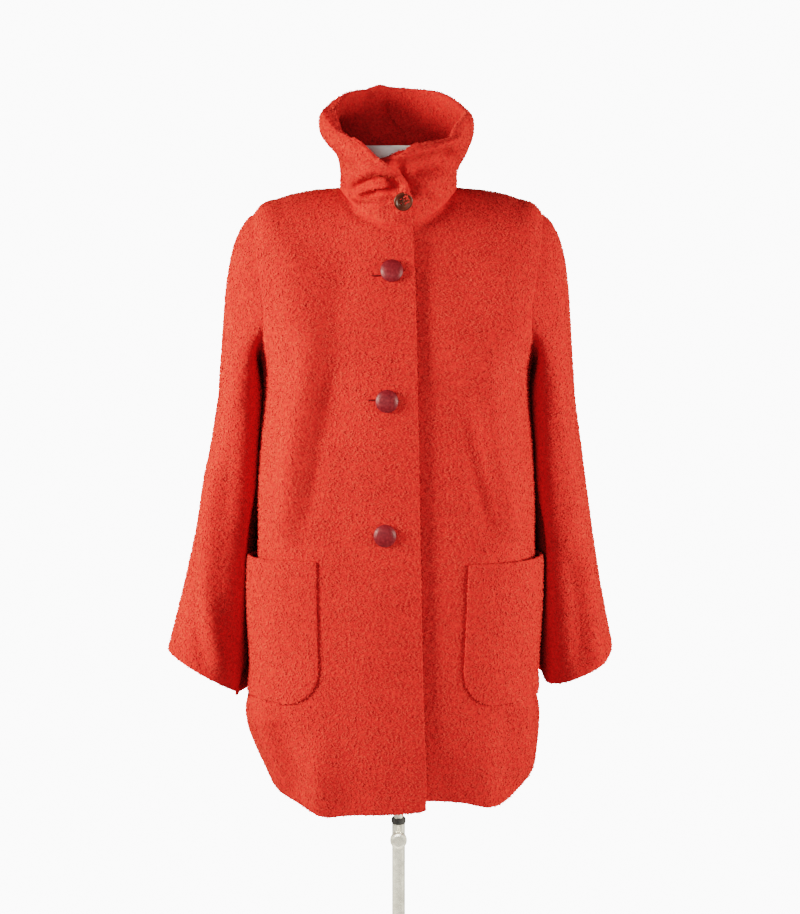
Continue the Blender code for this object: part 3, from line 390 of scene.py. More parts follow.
# Pile: strands a square metre, size and turn of a curl, ribbon width, and how strands lie and vary
PILE_DENSITY = 150000.0
COLLAR_DENSITY = PILE_DENSITY * 1.15
CURL_RADIUS = (0.0015, 0.0025)
CURL_TURN = math.radians(150.0)
RIBBON_WIDTH = (0.0009, 0.0014)
SWIRL_SIZE = 0.013
HANG = 0.35
NAP_SOFTNESS = 0.86
BARE_BELOW = 0.12
ROOT_DEPTH = 0.0004
TURN_SPREAD = 0.7
CURL_BOW = 0.9
BOW_PACE = 0.8
CURL_LEAN = 1.15
REACH_RANGE = (0.75, 1.15)
SHORTEST_CURL = 0.35
CURL_UNEVENNESS = 0.14
# Stray strands: their share, and how narrow and short they are
STRAY_SHARE = 0.06
STRAY_WIDTH = 0.45
STRAY_REACH = 0.65
# Waves of the field that turns the curls, the range of their sizes, strength, and seeds of its two uses
SWIRL_WAVES = 7
SWIRL_RANGE = (0.6, 1.9)
SWIRL_STRENGTH = 1.6
SWIRL_PHASE = 6.28
TURN_SEED = 11
HEIGHT_SEED = 23
# Share of the way along a strand, and the ribbon's share of its width there
STRAND_STATIONS = ((0.0, 0.8), (0.5, 1.0), (1.0, 0.0))
# A strand's points, their order round its quad and its triangle, where the two start, and texture places
STRAND_POINTS = 5
STRAND_CORNERS = (0, 2, 3, 1, 2, 4, 3)
STRAND_FACES = (0, 4)
STRAND_UV = ((0.0, 0.0), (1.0, 0.0), (0.0, 0.5), (1.0, 0.5), (0.5, 1.0))
# Share of the pile's length left at a seam, at the neckline and under a sleeve, and how far that reaches
SEAM_PILE = 0.65
SEAM_REACH = 0.010
NECK_PILE = 0.22
BACK_NECK_PILE = 0.30
NECK_REACH = 0.009
PRESSED_PILE = 0.55
INNER_ARM_PILE = 0.6
INNER_ARM_TURN = (0.3, 0.8)
# Where the sleeve presses on the coat's side: middle and spread in y, and heights at foot and top
PRESSED_MIDDLE_Y = 0.01
PRESSED_Y = (-0.075, -0.045)
PRESSED_FOOT = (0.74, 0.80)
PRESSED_TOP = (-1.24, -1.16)
# The under front has no pile where the upper front hides it, from and to its edge
UNDER_LAP = (-0.006, 0.001)
# Seeds of the random draws, by the pile's name
PILE_SEEDS = {
    "front_right": 2, "front_left": 4, "front_right_hem": 60, "front_left_hem": 62,
    "front_right_edge": 65, "back_left": 59, "back_right": 60, "back_hem": 67,
    "sleeve_right": 30, "sleeve_left": 32, "sleeve_right_cuff": 68, "sleeve_left_cuff": 70,
    "collar_outside": 41, "collar_inside": 43, "collar_rim": 73, "collar_end": 75,
    "pocket_right": 52, "pocket_left": 54,
    "pocket_right_first_row": 75, "pocket_right_last_row": 76, "pocket_right_first_column": 77,
    "pocket_right_last_column": 78, "pocket_left_first_row": 85, "pocket_left_last_row": 86,
    "pocket_left_first_column": 87, "pocket_left_last_column": 88,
}

# Turns of the rounded rim along a free edge, in degrees from the outside to the inside
RIM_TURNS = (40.0, 90.0, 140.0)
# Pile along a free edge: turns of its fan in degrees, length and strands a square metre
RIM_FAN = (15.0, 50.0, 85.0, 120.0, 155.0)
RIM_FAN_LENGTH = (0.9, 1.0, 0.9, 0.65, 0.40)
RIM_LENGTH = 0.50
RIM_DENSITY = 320000.0

# Camera, matched to the picture's angle
CAMERA_AT = (0.002, -2.76924, 1.46387)
CAMERA_TILT = math.radians(90.0 - 8.5)
CAMERA_LENS = 81.692
CAMERA_SENSOR = 36.0

# Studio: name, place, size, power and colour of each light, what they aim at, and how far they spread
LIGHTS = (
    ("left_softbox", (-2.3, -0.95, 1.60), (0.8, 0.9), 32.0, (1.0, 0.96, 0.82)),
    ("right_softbox", (2.35, -0.90, 1.15), (0.8, 0.9), 20.5, (1.0, 0.96, 0.82)),
    ("front_fill", (-0.3, -3.4, 1.3), (1.4, 1.0), 5.0, (1.0, 0.98, 0.94)),
)
LIGHT_TARGET = (0.0, 0.0, 1.08)
LIGHT_SPREAD = math.radians(80.0)
BACKDROP_STRENGTH = 3.6
AMBIENT_STRENGTH = 0.12
EXPOSURE = 0.35
# Floor: radii and sides of its rings, depth under the stand, and the distances over which it fades
FLOOR_RINGS = (0.01, 0.40, 1.00)
FLOOR_SIDES = 96
FLOOR_DEPTH = 0.0005
FLOOR_FADE = (0.42, 0.98)


# Small helpers
def smoothstep(value, low, high):
    part = np.clip((np.asarray(value, float) - low) / (high - low), 0.0, 1.0)
    return part * part * (3.0 - 2.0 * part)


def unit(vectors):
    length = np.linalg.norm(vectors, axis=-1, keepdims=True)
    return vectors / np.maximum(length, TINY)


def rising(least, share):
    """A share that rises from a least value to 1."""
    return least + (1.0 - least) * share


def smooth_between(part, start, leave, end, arrive):
    """A cubic from start to end, with the slopes that it leaves and arrives with."""
    square = part * part
    cube = square * part
    return (
        (2 * cube - 3 * square + 1) * start
        + (cube - 2 * square + part) * leave
        + (3 * square - 2 * cube) * end
        + (cube - square) * arrive
    )


def section_value(sections, column, place):
    """A smooth curve through one column of a section table."""
    values = np.array([row[column] for row in sections], float)
    place = np.asarray(place, float)
    step = np.clip(np.floor(place).astype(int), 0, len(values) - 2)
    part = place - step
    last = len(values) - 1
    before = values[np.maximum(step - 1, 0)]
    start = values[step]
    end = values[step + 1]
    after = values[np.minimum(step + 2, last)]
    return smooth_between(part, start, 0.5 * (end - before), end, 0.5 * (after - start))


def line_value(table, at):
    """A straight-line reading of a two-column table, in either order."""
    rows = sorted(table)
    return np.interp(at, [row[0] for row in rows], [row[1] for row in rows])


# The garment surface
def corner_at(sections, place):
    """How square a section is: 1 is an ellipse and less is squarer."""
    if len(sections[-1]) > CORNER_COLUMN:
        return section_value(sections, CORNER_COLUMN, place)
    return np.ones(np.shape(place))


def side_hollow(sections, place, y):
    """How far the side of a section is pressed in beside the sleeve."""
    if sections is not BODY_SECTIONS:
        return 0.0 * y
    begin, full, leave, end = SIDE_HOLLOW_PLACES
    share = smoothstep(place, begin, full) * (1.0 - smoothstep(place, leave, end))
    return SIDE_HOLLOW * share * smoothstep(y, *SIDE_HOLLOW_Y)


def respace(angle, power):
    """Angles moved within each quarter turn, so that columns spread evenly over squared corners."""
    quarter = np.floor(angle / HALF_PI) * HALF_PI
    inside = np.clip(angle - quarter, 0.0, HALF_PI)
    return quarter + np.arctan2(np.sin(inside) ** power, np.cos(inside) ** power)


def angle_for(x, half, corner):
    """The angle at which a section of this half width reaches x."""
    part = np.clip(np.abs(x) / half, 0.0, WIDEST_SHARE)
    return np.sign(x) * np.arcsin(part ** (1.0 / corner))


def ring_point(sections, angle, place):
    angle, place = np.broadcast_arrays(np.asarray(angle, float), np.asarray(place, float))
    z_front, z_side, z_back, right_half, left_half, front, back = (
        section_value(sections, column, place) for column in range(CORNER_COLUMN)
    )
    across = np.sin(angle)
    ahead = np.cos(angle)
    corner = corner_at(sections, place)
    half = np.where(across < 0.0, right_half, left_half)
    depth = np.where(ahead > 0.0, front, back)
    end_z = np.where(ahead > 0.0, z_front, z_back)
    y = -depth * np.sign(ahead) * np.abs(ahead) ** corner
    half = half - side_hollow(sections, place, y)
    x = half * np.sign(across) * np.abs(across) ** corner
    z = z_side + (end_z - z_side) * ahead * ahead
    return np.stack([x, y, z], axis=-1)


def ring_normal(sections, angle, place):
    step = SLOPE_STEP
    along = ring_point(sections, angle, place + step) - ring_point(sections, angle, place - step)
    around = ring_point(sections, angle + step, place) - ring_point(sections, angle - step, place)
    return unit(np.cross(along, around))


def fold_height(folds, points):
    """How far the soft folds lift the cloth at these points."""
    total = np.zeros(points.shape[:-1])
    for face, x_top, z_top, x_low, z_low, width, height in folds:
        run_x = x_low - x_top
        run_z = z_low - z_top
        reach = run_x * run_x + run_z * run_z
        part = ((points[..., 0] - x_top) * run_x + (points[..., 2] - z_top) * run_z) / reach
        part = np.clip(part, 0.0, 1.0)
        gap_x = points[..., 0] - (x_top + part * run_x)
        gap_z = points[..., 2] - (z_top + part * run_z)
        near = np.exp(-(gap_x * gap_x + FOLD_STRETCH * gap_z * gap_z) / (width * width))
        total += height * near * smoothstep(face * points[..., 1], *FOLD_Y)
    return total


def crease_height(creases, points, normals):
    """How far the small creases lift the cloth; each fades out at both its ends."""
    total = np.zeros(points.shape[:-1])
    for face, width, height, line in creases:
        line = np.array(line, float)
        spans = np.linalg.norm(np.diff(line, axis=0), axis=1)
        reach = np.concatenate([[0.0], np.cumsum(spans)]) / np.sum(spans)
        best = np.full(total.shape, np.inf)
        at = np.zeros(total.shape)
        for step in range(len(line) - 1):
            run = line[step + 1] - line[step]
            gap_x = points[..., 0] - line[step, 0]
            gap_z = points[..., 2] - line[step, 1]
            part = np.clip((gap_x * run[0] + gap_z * run[1]) / (run @ run), 0.0, 1.0)
            gap = (gap_x - part * run[0]) ** 2 + (gap_z - part * run[1]) ** 2
            nearer = gap < best
            best = np.where(nearer, gap, best)
            at = np.where(nearer, reach[step] + part * (reach[step + 1] - reach[step]), at)
        fade = smoothstep(at, *CREASE_BEGINS) * (1.0 - smoothstep(at, *CREASE_ENDS))
        shown = smoothstep(face * normals[..., 1], *CREASE_TURNS)
        total += height * np.exp(-best / (width * width)) * fade * shown
    return total


def lap_at(points, side):
    """How far the right front stands out over the left front near the centre."""
    near = 1.0 - smoothstep(side * points[..., 0], LAP_FULL_X, LAP_END_X)
    return -side * LAP_OFFSET * near * (points[..., 1] < 0.0)


def lap_shift(lap):
    return np.asarray(lap)[..., None] * np.array([0.0, -1.0, 0.0])


def body_point(angle, place, out=0.0, lap=0.0):
    """A point on the coat's outside, moved out along the surface and forwards by a lap."""
    base = ring_point(BODY_SECTIONS, angle, place)
    lift = fold_height(BODY_FOLDS, base) + out
    point = base + ring_normal(BODY_SECTIONS, angle, place) * lift[..., None]
    return point + lap_shift(lap)


def armhole_bite(place):
    part = np.clip((place - SHOULDER_PLACE) / (UNDERARM_PLACE - SHOULDER_PLACE), 0.0, 1.0)
    return ARMHOLE_BITE * np.sin(np.pi * part) ** ARMHOLE_FULLNESS


def armhole_places(steps):
    turn = np.linspace(0.0, math.pi, steps + 1)
    span = UNDERARM_PLACE - SHOULDER_PLACE
    return SHOULDER_PLACE + span * 0.5 * (1.0 - np.cos(turn))


def place_at(angle, z):
    """The place down the body where this angle reaches this height."""
    low = np.full(np.shape(angle), 0.0)
    high = np.full(np.shape(angle), HEM_PLACE)
    for _ in range(PLACE_HALVINGS):
        middle = 0.5 * (low + high)
        above = ring_point(BODY_SECTIONS, angle, middle)[..., 2] > z
        low = np.where(above, middle, low)
        high = np.where(above, high, middle)
    return 0.5 * (low + high)


def angle_at(x, z):
    """The angle on the front where the body reaches this width at this height."""
    angle = np.zeros(np.shape(x))
    for _ in range(ANGLE_ROUNDS):
        place = place_at(angle, z)
        column = RIGHT_HALF if np.all(np.asarray(x) < 0.0) else LEFT_HALF
        half = section_value(BODY_SECTIONS, column, place)
        angle = angle_for(x, half, corner_at(BODY_SECTIONS, place))
    return angle


def body_grid(start_angle, end_angle, columns, hem):
    """Angles and places of a panel between two edges, ending at its hem line."""
    above = np.linspace(0.0, SHOULDER_PLACE, SHOULDER_ROWS)
    upper = np.concatenate([above[:-1], armhole_places(ARMHOLE_STEPS)])
    lower = np.linspace(0.0, 1.0, LOWER_ROWS)[1:]
    part = np.linspace(0.0, 1.0, columns)
    first = UNDERARM_PLACE
    rows = np.concatenate([upper, first + lower * (HEM_PLACE - first)])
    start = respace(start_angle(rows), COLUMN_SPREAD)
    end = respace(end_angle(rows), COLUMN_SPREAD)
    angles = respace(start[:, None] + (end - start)[:, None] * part, 1.0 / COLUMN_SPREAD)
    places = np.broadcast_to(rows[:, None], angles.shape).copy()
    foot = place_at(angles[-1], line_value(hem, np.degrees(angles[-1])))
    places[len(upper):] = first + lower[:, None] * (foot - first)
    return angles, places


# Meshes
def add_object(name, mesh, material):
    mesh.materials.append(material)
    thing = bpy.data.objects.new(name, mesh)
    bpy.context.scene.collection.objects.link(thing)
    return thing


def make_mesh(name, points, faces, material):
    mesh = bpy.data.meshes.new(name)
    mesh.from_pydata(np.asarray(points, float).tolist(), [], faces)
    mesh.update()
    mesh.polygons.foreach_set("use_smooth", [True] * len(mesh.polygons))
    return add_object(name, mesh, material)


def grid_normals(grid, facing, tube):
    """Outward normals of a grid of points."""
    if tube:
        around = np.roll(grid, -1, axis=1) - np.roll(grid, 1, axis=1)
    else:
        around = np.gradient(grid, axis=1)
    along = np.gradient(grid, axis=0)
    return unit(np.cross(around, along)) * facing


def make_shell(name, outer, inner, material, tube=False, flip=False):
    """A closed thin shell between two grids, with a rounded rim along its free edges."""
    rows, columns = outer.shape[:2]
    count = rows * columns
    flat_outer = outer.reshape(-1, 3)
    flat_inner = inner.reshape(-1, 3)
    points = [flat_outer, flat_inner]
    index = np.arange(count).reshape(rows, columns)
    wrap = np.concatenate([index, index[:, :1]], axis=1) if tube else index
    quads = np.stack([wrap[:-1, :-1], wrap[:-1, 1:], wrap[1:, 1:], wrap[1:, :-1]], axis=-1)
    quads = quads.reshape(-1, 4)
    if flip:
        quads = quads[:, ::-1]
    faces = quads.tolist() + (quads[:, ::-1] + count).tolist()
    if tube:
        loops = [(index[0], index[1]), (index[-1][::-1], index[-2][::-1])]
    else:
        loops = [(
            np.concatenate([index[0, :-1], index[:-1, -1], index[-1, :0:-1], index[:0:-1, 0]]),
            np.concatenate([index[1, :-1], index[:-1, -2], index[-2, :0:-1], index[:0:-1, 1]]),
        )]
    base = 2 * count
    strips = []
    for edge, inside in loops:
        away = unit(flat_outer[edge] - flat_outer[inside])
        middle = 0.5 * (flat_outer[edge] + flat_inner[edge])
        thick = np.linalg.norm(flat_outer[edge] - flat_inner[edge], axis=1, keepdims=True)
        before = edge
        for turn in np.radians(RIM_TURNS):
            out = math.cos(turn) * (flat_outer[edge] - middle)
            points.append(middle + out + away * math.sin(turn) * 0.5 * thick)
            loop = base + np.arange(len(edge))
            base += len(edge)
            strips.append((before, loop))
            before = loop
        strips.append((before, edge + count))
    for first, second in strips:
        strip = np.stack([np.roll(first, -1), first, second, np.roll(second, -1)], axis=-1)
        faces += (strip[:, ::-1] if flip else strip).tolist()
    return make_mesh(name, np.concatenate(points), faces, material)


def swirl(points, seed):
    """A smooth field of angles, for the way that neighbouring curls lie."""
    noise = np.random.RandomState(seed)
    total = np.zeros(points.shape[:-1])
    for _ in range(SWIRL_WAVES):
        direction = unit(noise.normal(size=3))
        size = SWIRL_SIZE * noise.uniform(*SWIRL_RANGE)
        total += np.sin(points @ direction * (FULL_TURN / size) + noise.uniform(0.0, SWIRL_PHASE))
    return total * SWIRL_STRENGTH


def make_pile(name, grid, normals, length, tube=False, density=PILE_DENSITY, keep=None):
    """Short curled ribbons rooted all over a grid; length scales them and 0 leaves a place bare."""
    noise = np.random.RandomState(PILE_SEEDS[name.removeprefix("pile_cloth_")])
    if tube:
        grid, normals, length = (
            np.concatenate([part, part[:, :1]], axis=1) for part in (grid, normals, length)
        )
    corners = [np.s_[:-1, :-1], np.s_[:-1, 1:], np.s_[1:, :-1], np.s_[1:, 1:]]
    spots = [grid[corner].reshape(-1, 3) for corner in corners]
    area = 0.5 * np.linalg.norm(np.cross(spots[1] - spots[0], spots[2] - spots[0]), axis=1)
    area += 0.5 * np.linalg.norm(np.cross(spots[1] - spots[3], spots[2] - spots[3]), axis=1)
    shown = sum(length[corner].reshape(-1) for corner in corners) * 0.25
    weight = area * (shown > BARE_BELOW)
    total = int(np.sum(weight) * density)
    chosen = np.searchsorted(np.cumsum(weight) / np.sum(weight), noise.uniform(size=total))
    chosen = np.minimum(chosen, len(weight) - 1)
    u = noise.uniform(size=total)
    v = noise.uniform(size=total)
    shares = [(1 - u) * (1 - v), u * (1 - v), (1 - u) * v, u * v]
    root = sum(share[:, None] * spot[chosen] for share, spot in zip(shares, spots))
    if keep is not None:
        kept = keep(root)
        root = root[kept]
        chosen = chosen[kept]
        shares = [share[kept] for share in shares]
        total = len(root)
    facing = [normals[corner].reshape(-1, 3)[chosen] for corner in corners]
    up = unit(sum(share[:, None] * normal for share, normal in zip(shares, facing)))
    size = sum(share * length[corner].reshape(-1)[chosen] for share, corner in zip(shares, corners))
    helper = np.where(np.abs(up[:, 2:3]) < STEEP, UPWARD, BACKWARD)
    side = unit(np.cross(helper, up))
    rise = np.cross(up, side)
    turn = swirl(root, TURN_SEED) + noise.normal(scale=TURN_SPREAD, size=total)
    lean = unit(side * np.cos(turn)[:, None] + rise * np.sin(turn)[:, None] - rise * HANG)
    across = np.cross(up, lean)
    uneven = 1.0 - CURL_UNEVENNESS + CURL_UNEVENNESS * np.sin(swirl(root, HEIGHT_SEED))
    radius = noise.uniform(*CURL_RADIUS, size=total) * rising(SHORTEST_CURL, size) * uneven
    stray = noise.uniform(size=total) < STRAY_SHARE
    width = noise.uniform(*RIBBON_WIDTH, size=total) * np.where(stray, STRAY_WIDTH, 1.0)
    bow = noise.uniform(-CURL_BOW, CURL_BOW, size=total)
    reach = CURL_TURN * noise.uniform(*REACH_RANGE, size=total) * np.where(stray, STRAY_REACH, 1.0)
    stations = []
    shading = []
    for station, wide in STRAND_STATIONS:
        angle = reach * station
        out = radius * np.sin(angle) - ROOT_DEPTH
        along = radius * (1.0 - np.cos(angle)) * CURL_LEAN
        aside = radius * bow * np.sin(angle * BOW_PACE)
        middle = root + up * out[:, None] + lean * along[:, None] + across * aside[:, None]
        half = across * (0.5 * width * wide)[:, None]
        outside = up * np.sin(angle)[:, None] - lean * np.cos(angle)[:, None]
        soft = unit(up * NAP_SOFTNESS + outside * (1.0 - NAP_SOFTNESS))
        stations.extend([middle - half, middle + half] if wide > 0.0 else [middle])
        shading.extend([soft, soft] if wide > 0.0 else [soft])
    points = np.stack(stations, axis=1).reshape(-1, 3)
    shading = np.stack(shading, axis=1).reshape(-1, 3)
    corner_order = np.array(STRAND_CORNERS)
    loops = ((np.arange(total) * STRAND_POINTS)[:, None] + corner_order).reshape(-1)
    starts = ((np.arange(total) * len(corner_order))[:, None] + np.array(STRAND_FACES)).reshape(-1)
    mesh = bpy.data.meshes.new(name)
    mesh.vertices.add(len(points))
    mesh.vertices.foreach_set("co", points.astype(np.float32).reshape(-1))
    mesh.loops.add(len(loops))
    mesh.loops.foreach_set("vertex_index", loops.astype(np.int32))
    mesh.polygons.add(len(starts))
    mesh.polygons.foreach_set("loop_start", starts.astype(np.int32))
    mesh.update(calc_edges=True)
    mesh.polygons.foreach_set("use_smooth", np.ones(len(starts), bool))
    mesh.normals_split_custom_set_from_vertices(shading.astype(np.float32))
    layer = mesh.uv_layers.new(name="along_strand")
    spread = np.array(STRAND_UV)[corner_order].reshape(-1)
    layer.data.foreach_set("uv", np.tile(spread, total).astype(np.float32))
    return add_object(name, mesh, PILE)


def ring_faces(sides, rings):
    """Faces between closed rings of points, one ring after the other."""
    faces = []
    for first in range(0, (rings - 1) * sides, sides):
        for side in range(sides):
            after = (side + 1) % sides
            faces.append((first + side, first + after, first + sides + after, first + sides + side))
    return faces


def make_loft(name, rings, material):
    """A solid through closed rings, with a cap at each end."""
    sides = len(rings[0])
    faces = ring_faces(sides, len(rings))
    faces.append(tuple(range(sides))[::-1])
    faces.append(tuple(range((len(rings) - 1) * sides, len(rings) * sides)))
    return make_mesh(name, np.concatenate(rings), faces, material)


def lathe_rings(profile, sides):
    turn = np.linspace(0.0, FULL_TURN, sides, endpoint=False)
    return [
        np.stack([radius * np.cos(turn), radius * np.sin(turn), np.full(sides, z)], axis=-1)
        for radius, z in profile
    ]


def aim(rings, place, direction):
    """Rings made along +Z, set at a place with +Z turned to a direction."""
    up = unit(np.asarray(direction, float))
    helper = UPWARD if abs(up[2]) < STEEP else BACKWARD
    side = unit(np.cross(helper, up))
    ahead = np.cross(up, side)
    turned = np.stack([side, ahead, up])
    return [np.asarray(ring) @ turned + np.asarray(place) for ring in rings]


# Materials
def new_material(name):
    material = bpy.data.materials.new(name)
    material.use_nodes = True
    return material, material.node_tree, material.node_tree.nodes["Principled BSDF"]


def add_noise(tree, scale, detail=3.0, kind="ShaderNodeTexNoise"):
    where = tree.nodes.new("ShaderNodeTexCoord")
    noise = tree.nodes.new(kind)
    noise.inputs["Scale"].default_value = scale
    if "Detail" in noise.inputs:
        noise.inputs["Detail"].default_value = detail
    tree.links.new(where.outputs["Object"], noise.inputs["Vector"])
    return noise.outputs["Distance" if kind == "ShaderNodeTexVoronoi" else "Fac"]


def add_ramp(tree, value, stops):
    ramp = tree.nodes.new("ShaderNodeValToRGB")
    while len(ramp.color_ramp.elements) < len(stops):
        ramp.color_ramp.elements.new(0.5)
    for element, (position, colour) in zip(ramp.color_ramp.elements, stops):
        element.position = position
        element.color = (*colour, 1.0)
    tree.links.new(value, ramp.inputs["Fac"])
    return ramp.outputs["Color"]


# Colour sockets of a mix node: its two inputs and its result
MIX_FIRST, MIX_SECOND, MIX_RESULT = 6, 7, 2


def add_product(tree, first, second):
    mix = tree.nodes.new("ShaderNodeMix")
    mix.data_type = "RGBA"
    mix.blend_type = "MULTIPLY"
    mix.inputs["Factor"].default_value = 1.0
    tree.links.new(first, mix.inputs[MIX_FIRST])
    tree.links.new(second, mix.inputs[MIX_SECOND])
    return mix.outputs[MIX_RESULT]


def add_bump(tree, shader, height, strength, distance):
    bump = tree.nodes.new("ShaderNodeBump")
    bump.inputs["Strength"].default_value = strength
    bump.inputs["Distance"].default_value = distance
    tree.links.new(height, bump.inputs["Height"])
    tree.links.new(bump.outputs["Normal"], shader.inputs["Normal"])


def grey(value):
    return (value, value, value)


def set_values(shader, values):
    for socket, value in values.items():
        shader.inputs[socket].default_value = value


def noise_ramp(tree, scale, detail, *stops):
    return add_ramp(tree, add_noise(tree, scale, detail), stops)


def noise_material(name, colour, values, bump, rough=None):
    """A material with noise in its colour and surface, and in its roughness where that is given."""
    material, tree, shader = new_material(name)
    tree.links.new(noise_ramp(tree, *colour), shader.inputs["Base Color"])
    if rough:
        tree.links.new(noise_ramp(tree, *rough), shader.inputs["Roughness"])
    set_values(shader, values)
    height, strength, distance = bump
    add_bump(tree, shader, add_noise(tree, *height), strength, distance)
    return material


# Pile: painted shade along a strand, darker towards its root, noise from curl to curl and over wider
# patches, and fixed values
PILE_ROOT_SHADE = ((0.0, (0.80, 0.76, 0.76)), (0.5, (0.97, 0.96, 0.96)), (1.0, grey(1.0)))
PILE_CURLS = (
    210.0, 2.0,
    (0.30, (0.47, 0.043, 0.033)), (0.50, (0.56, 0.053, 0.040)), (0.70, (0.65, 0.064, 0.048)),
)
PILE_PATCHES = (16.0, 2.0, (0.35, (0.90, 0.86, 0.86)), (0.65, grey(1.0)))
PILE_VALUES = {
    "Roughness": 0.88, "Specular IOR Level": 0.06, "Sheen Weight": 0.07, "Sheen Roughness": 0.45,
    "Sheen Tint": (1.0, 0.34, 0.14, 1.0),
}


def pile_material(name):
    """Curled wool strands: painted shade darkens each strand towards its root, and the colour differs a
    little from curl to curl.
    """
    material, tree, shader = new_material(name)
    where = tree.nodes.new("ShaderNodeUVMap")
    where.uv_map = "along_strand"
    split = tree.nodes.new("ShaderNodeSeparateXYZ")
    tree.links.new(where.outputs["UV"], split.inputs["Vector"])
    # painted shade: each strand darker towards its root
    along = add_ramp(tree, split.outputs["Y"], PILE_ROOT_SHADE)
    curls = noise_ramp(tree, *PILE_CURLS)
    patches = noise_ramp(tree, *PILE_PATCHES)
    colour = add_product(tree, add_product(tree, curls, along), patches)
    tree.links.new(colour, shader.inputs["Base Color"])
    set_values(shader, PILE_VALUES)
    return material


# Each material: noise scale, detail and colour stops; fixed values; bump; and noise for its roughness
# Cloth under the pile: its own red, painted darker as the shade in the depth between the strands
SHADED_GROUND = noise_material(
    "coat_ground_painted_shade",
    (240.0, 3.0, (0.30, (0.36, 0.019, 0.016)), (0.55, (0.50, 0.030, 0.023)), (0.75, (0.62, 0.043, 0.030))),
    {"Roughness": 0.95, "Specular IOR Level": 0.15},
    ((420.0, 4.0), 0.7, 0.002),
)
PILE = pile_material("coat_pile")
LEATHER = noise_material(
    "button_leather_grain",
    (330.0, 4.0, (0.30, (0.08, 0.006, 0.010)), (0.55, (0.13, 0.012, 0.016)), (0.78, (0.18, 0.024, 0.026))),
    {"Specular IOR Level": 0.20},
    ((900.0, 2.0, "ShaderNodeTexVoronoi"), 0.25, 0.0005),
    (180.0, 3.0, (0.3, grey(0.38)), (0.7, grey(0.50))),
)
HORN = noise_material(
    "button_horn",
    (120.0, 5.0, (0.3, (0.026, 0.007, 0.004)), (0.55, (0.056, 0.014, 0.007)), (0.78, (0.1, 0.025, 0.011))),
    {"Specular IOR Level": 0.25},
    ((500.0,), 0.12, 0.0004),
    (260.0, 3.0, (0.3, grey(0.28)), (0.7, grey(0.42))),
)
# Near-black red of the buttonhole slits: painted shade in their openings
SLIT_SHADE = noise_material(
    "slit_painted_shade",
    (900.0, 3.0, (0.3, (0.070, 0.005, 0.005)), (0.7, (0.120, 0.010, 0.009))),
    {"Roughness": 0.9, "Specular IOR Level": 0.1},
    ((1800.0,), 0.4, 0.0003),
)
JERSEY = noise_material(
    "form_jersey_knit",
    (60.0, 3.0, (0.3, (0.80, 0.79, 0.77)), (0.7, (0.90, 0.89, 0.87))),
    {"Roughness": 0.85, "Sheen Weight": 0.2},
    ((900.0, 2.0), 0.3, 0.0006),
)
CHROME = noise_material(
    "pole_chrome_worn",
    (40.0, 3.0, (0.3, (0.84, 0.82, 0.76)), (0.7, (0.90, 0.88, 0.83))),
    {"Metallic": 0.7},
    ((700.0,), 0.04, 0.0003),
    (130.0, 5.0, (0.35, grey(0.24)), (0.65, grey(0.36))),
)
RUBBER = noise_material(
    "seal_rubber_matt",
    (200.0, 3.0, (0.3, (0.016, 0.016, 0.017)), (0.7, (0.034, 0.034, 0.036))),
    {"Roughness": 0.6},
    ((600.0,), 0.2, 0.0004),
)


# Cloth pieces
def from_edge(grid, edge):
    """The grid's lines of points, counted inwards from one of its edges."""
    lines = grid.transpose(1, 0, 2) if edge.endswith("column") else grid
    return lines[::-1] if edge.startswith("last") else lines


def edge_fade(grid, edge, reach):
    """0 at one edge of a grid rising to 1 at this distance from it."""
    lines = from_edge(grid, edge)
    steps = np.linalg.norm(np.diff(lines, axis=0), axis=-1)
    run = np.concatenate([np.zeros((1, lines.shape[1])), np.cumsum(steps, axis=0)])
    fade = smoothstep(run, 0.0, reach)
    fade = fade[::-1] if edge.startswith("last") else fade
    return fade.T if edge.endswith("column") else fade


def rim_pile(name, outer, inner, edge, tube=False):
    """Pile along one free edge of a cloth, fanned round the turn of its rim."""
    lines = from_edge(outer, edge)
    line = lines[0]
    away = unit(line - lines[1])
    middle = 0.5 * (line + from_edge(inner, edge)[0])
    up = unit(line - middle)
    half = np.linalg.norm(line - middle, axis=-1, keepdims=True)
    facing = np.stack([up * math.cos(turn) + away * math.sin(turn) for turn in np.radians(RIM_FAN)])
    grid = middle + facing * half
    length = np.broadcast_to(RIM_LENGTH * np.array(RIM_FAN_LENGTH)[:, None], grid.shape[:2])
    return make_pile(name, grid, facing, length, tube, density=RIM_DENSITY)


def crease_cloth(grid, creases, facing, tube=False):
    """The grid with its small creases, and its normals."""
    normals = grid_normals(grid, facing, tube)
    lift = crease_height(creases, grid, normals)
    grid = grid + normals * lift[..., None]
    return grid, grid_normals(grid, facing, tube)


def seam_angle(places):
    return 0.5 * SEAM_GAP / section_value(BODY_SECTIONS, BACK_DEPTH, places)


def pocket_cover(points, side):
    """1 where a patch pocket hides the front."""
    row = POCKETS["pocket_right" if side < 0 else "pocket_left"]
    inner_x, mouth, foot = row[1], row[2], row[4]
    inside = smoothstep(side * points[..., 0] - inner_x, *HIDDEN_FROM_EDGE)
    inside *= 1.0 - smoothstep(points[..., 2] - mouth, *HIDDEN_FROM_MOUTH)
    inside *= smoothstep(points[..., 2] - foot, *HIDDEN_FROM_FOOT)
    return inside * (points[..., 1] < HIDDEN_BEFORE_Y)


def sleeve_shade(points):
    """1 where the sleeve lies against the coat's side."""
    beside = smoothstep(-np.abs(points[..., 1] - PRESSED_MIDDLE_Y), *PRESSED_Y)
    return beside * smoothstep(points[..., 2], *PRESSED_FOOT) * smoothstep(-points[..., 2], *PRESSED_TOP)


def clear_of_slits(points):
    """True for points off the buttonholes of the right front."""
    clear = np.ones(len(points), bool)
    for x, z in BUTTONHOLES.values():
        across = np.abs(points[:, 0] - x) / SLIT_SIZE[0]
        upward = np.abs(points[:, 2] - z) / SLIT_SIZE[1]
        clear &= (across ** 2 + upward ** 2 > 1.0) | (points[:, 1] > 0.0)
    return clear


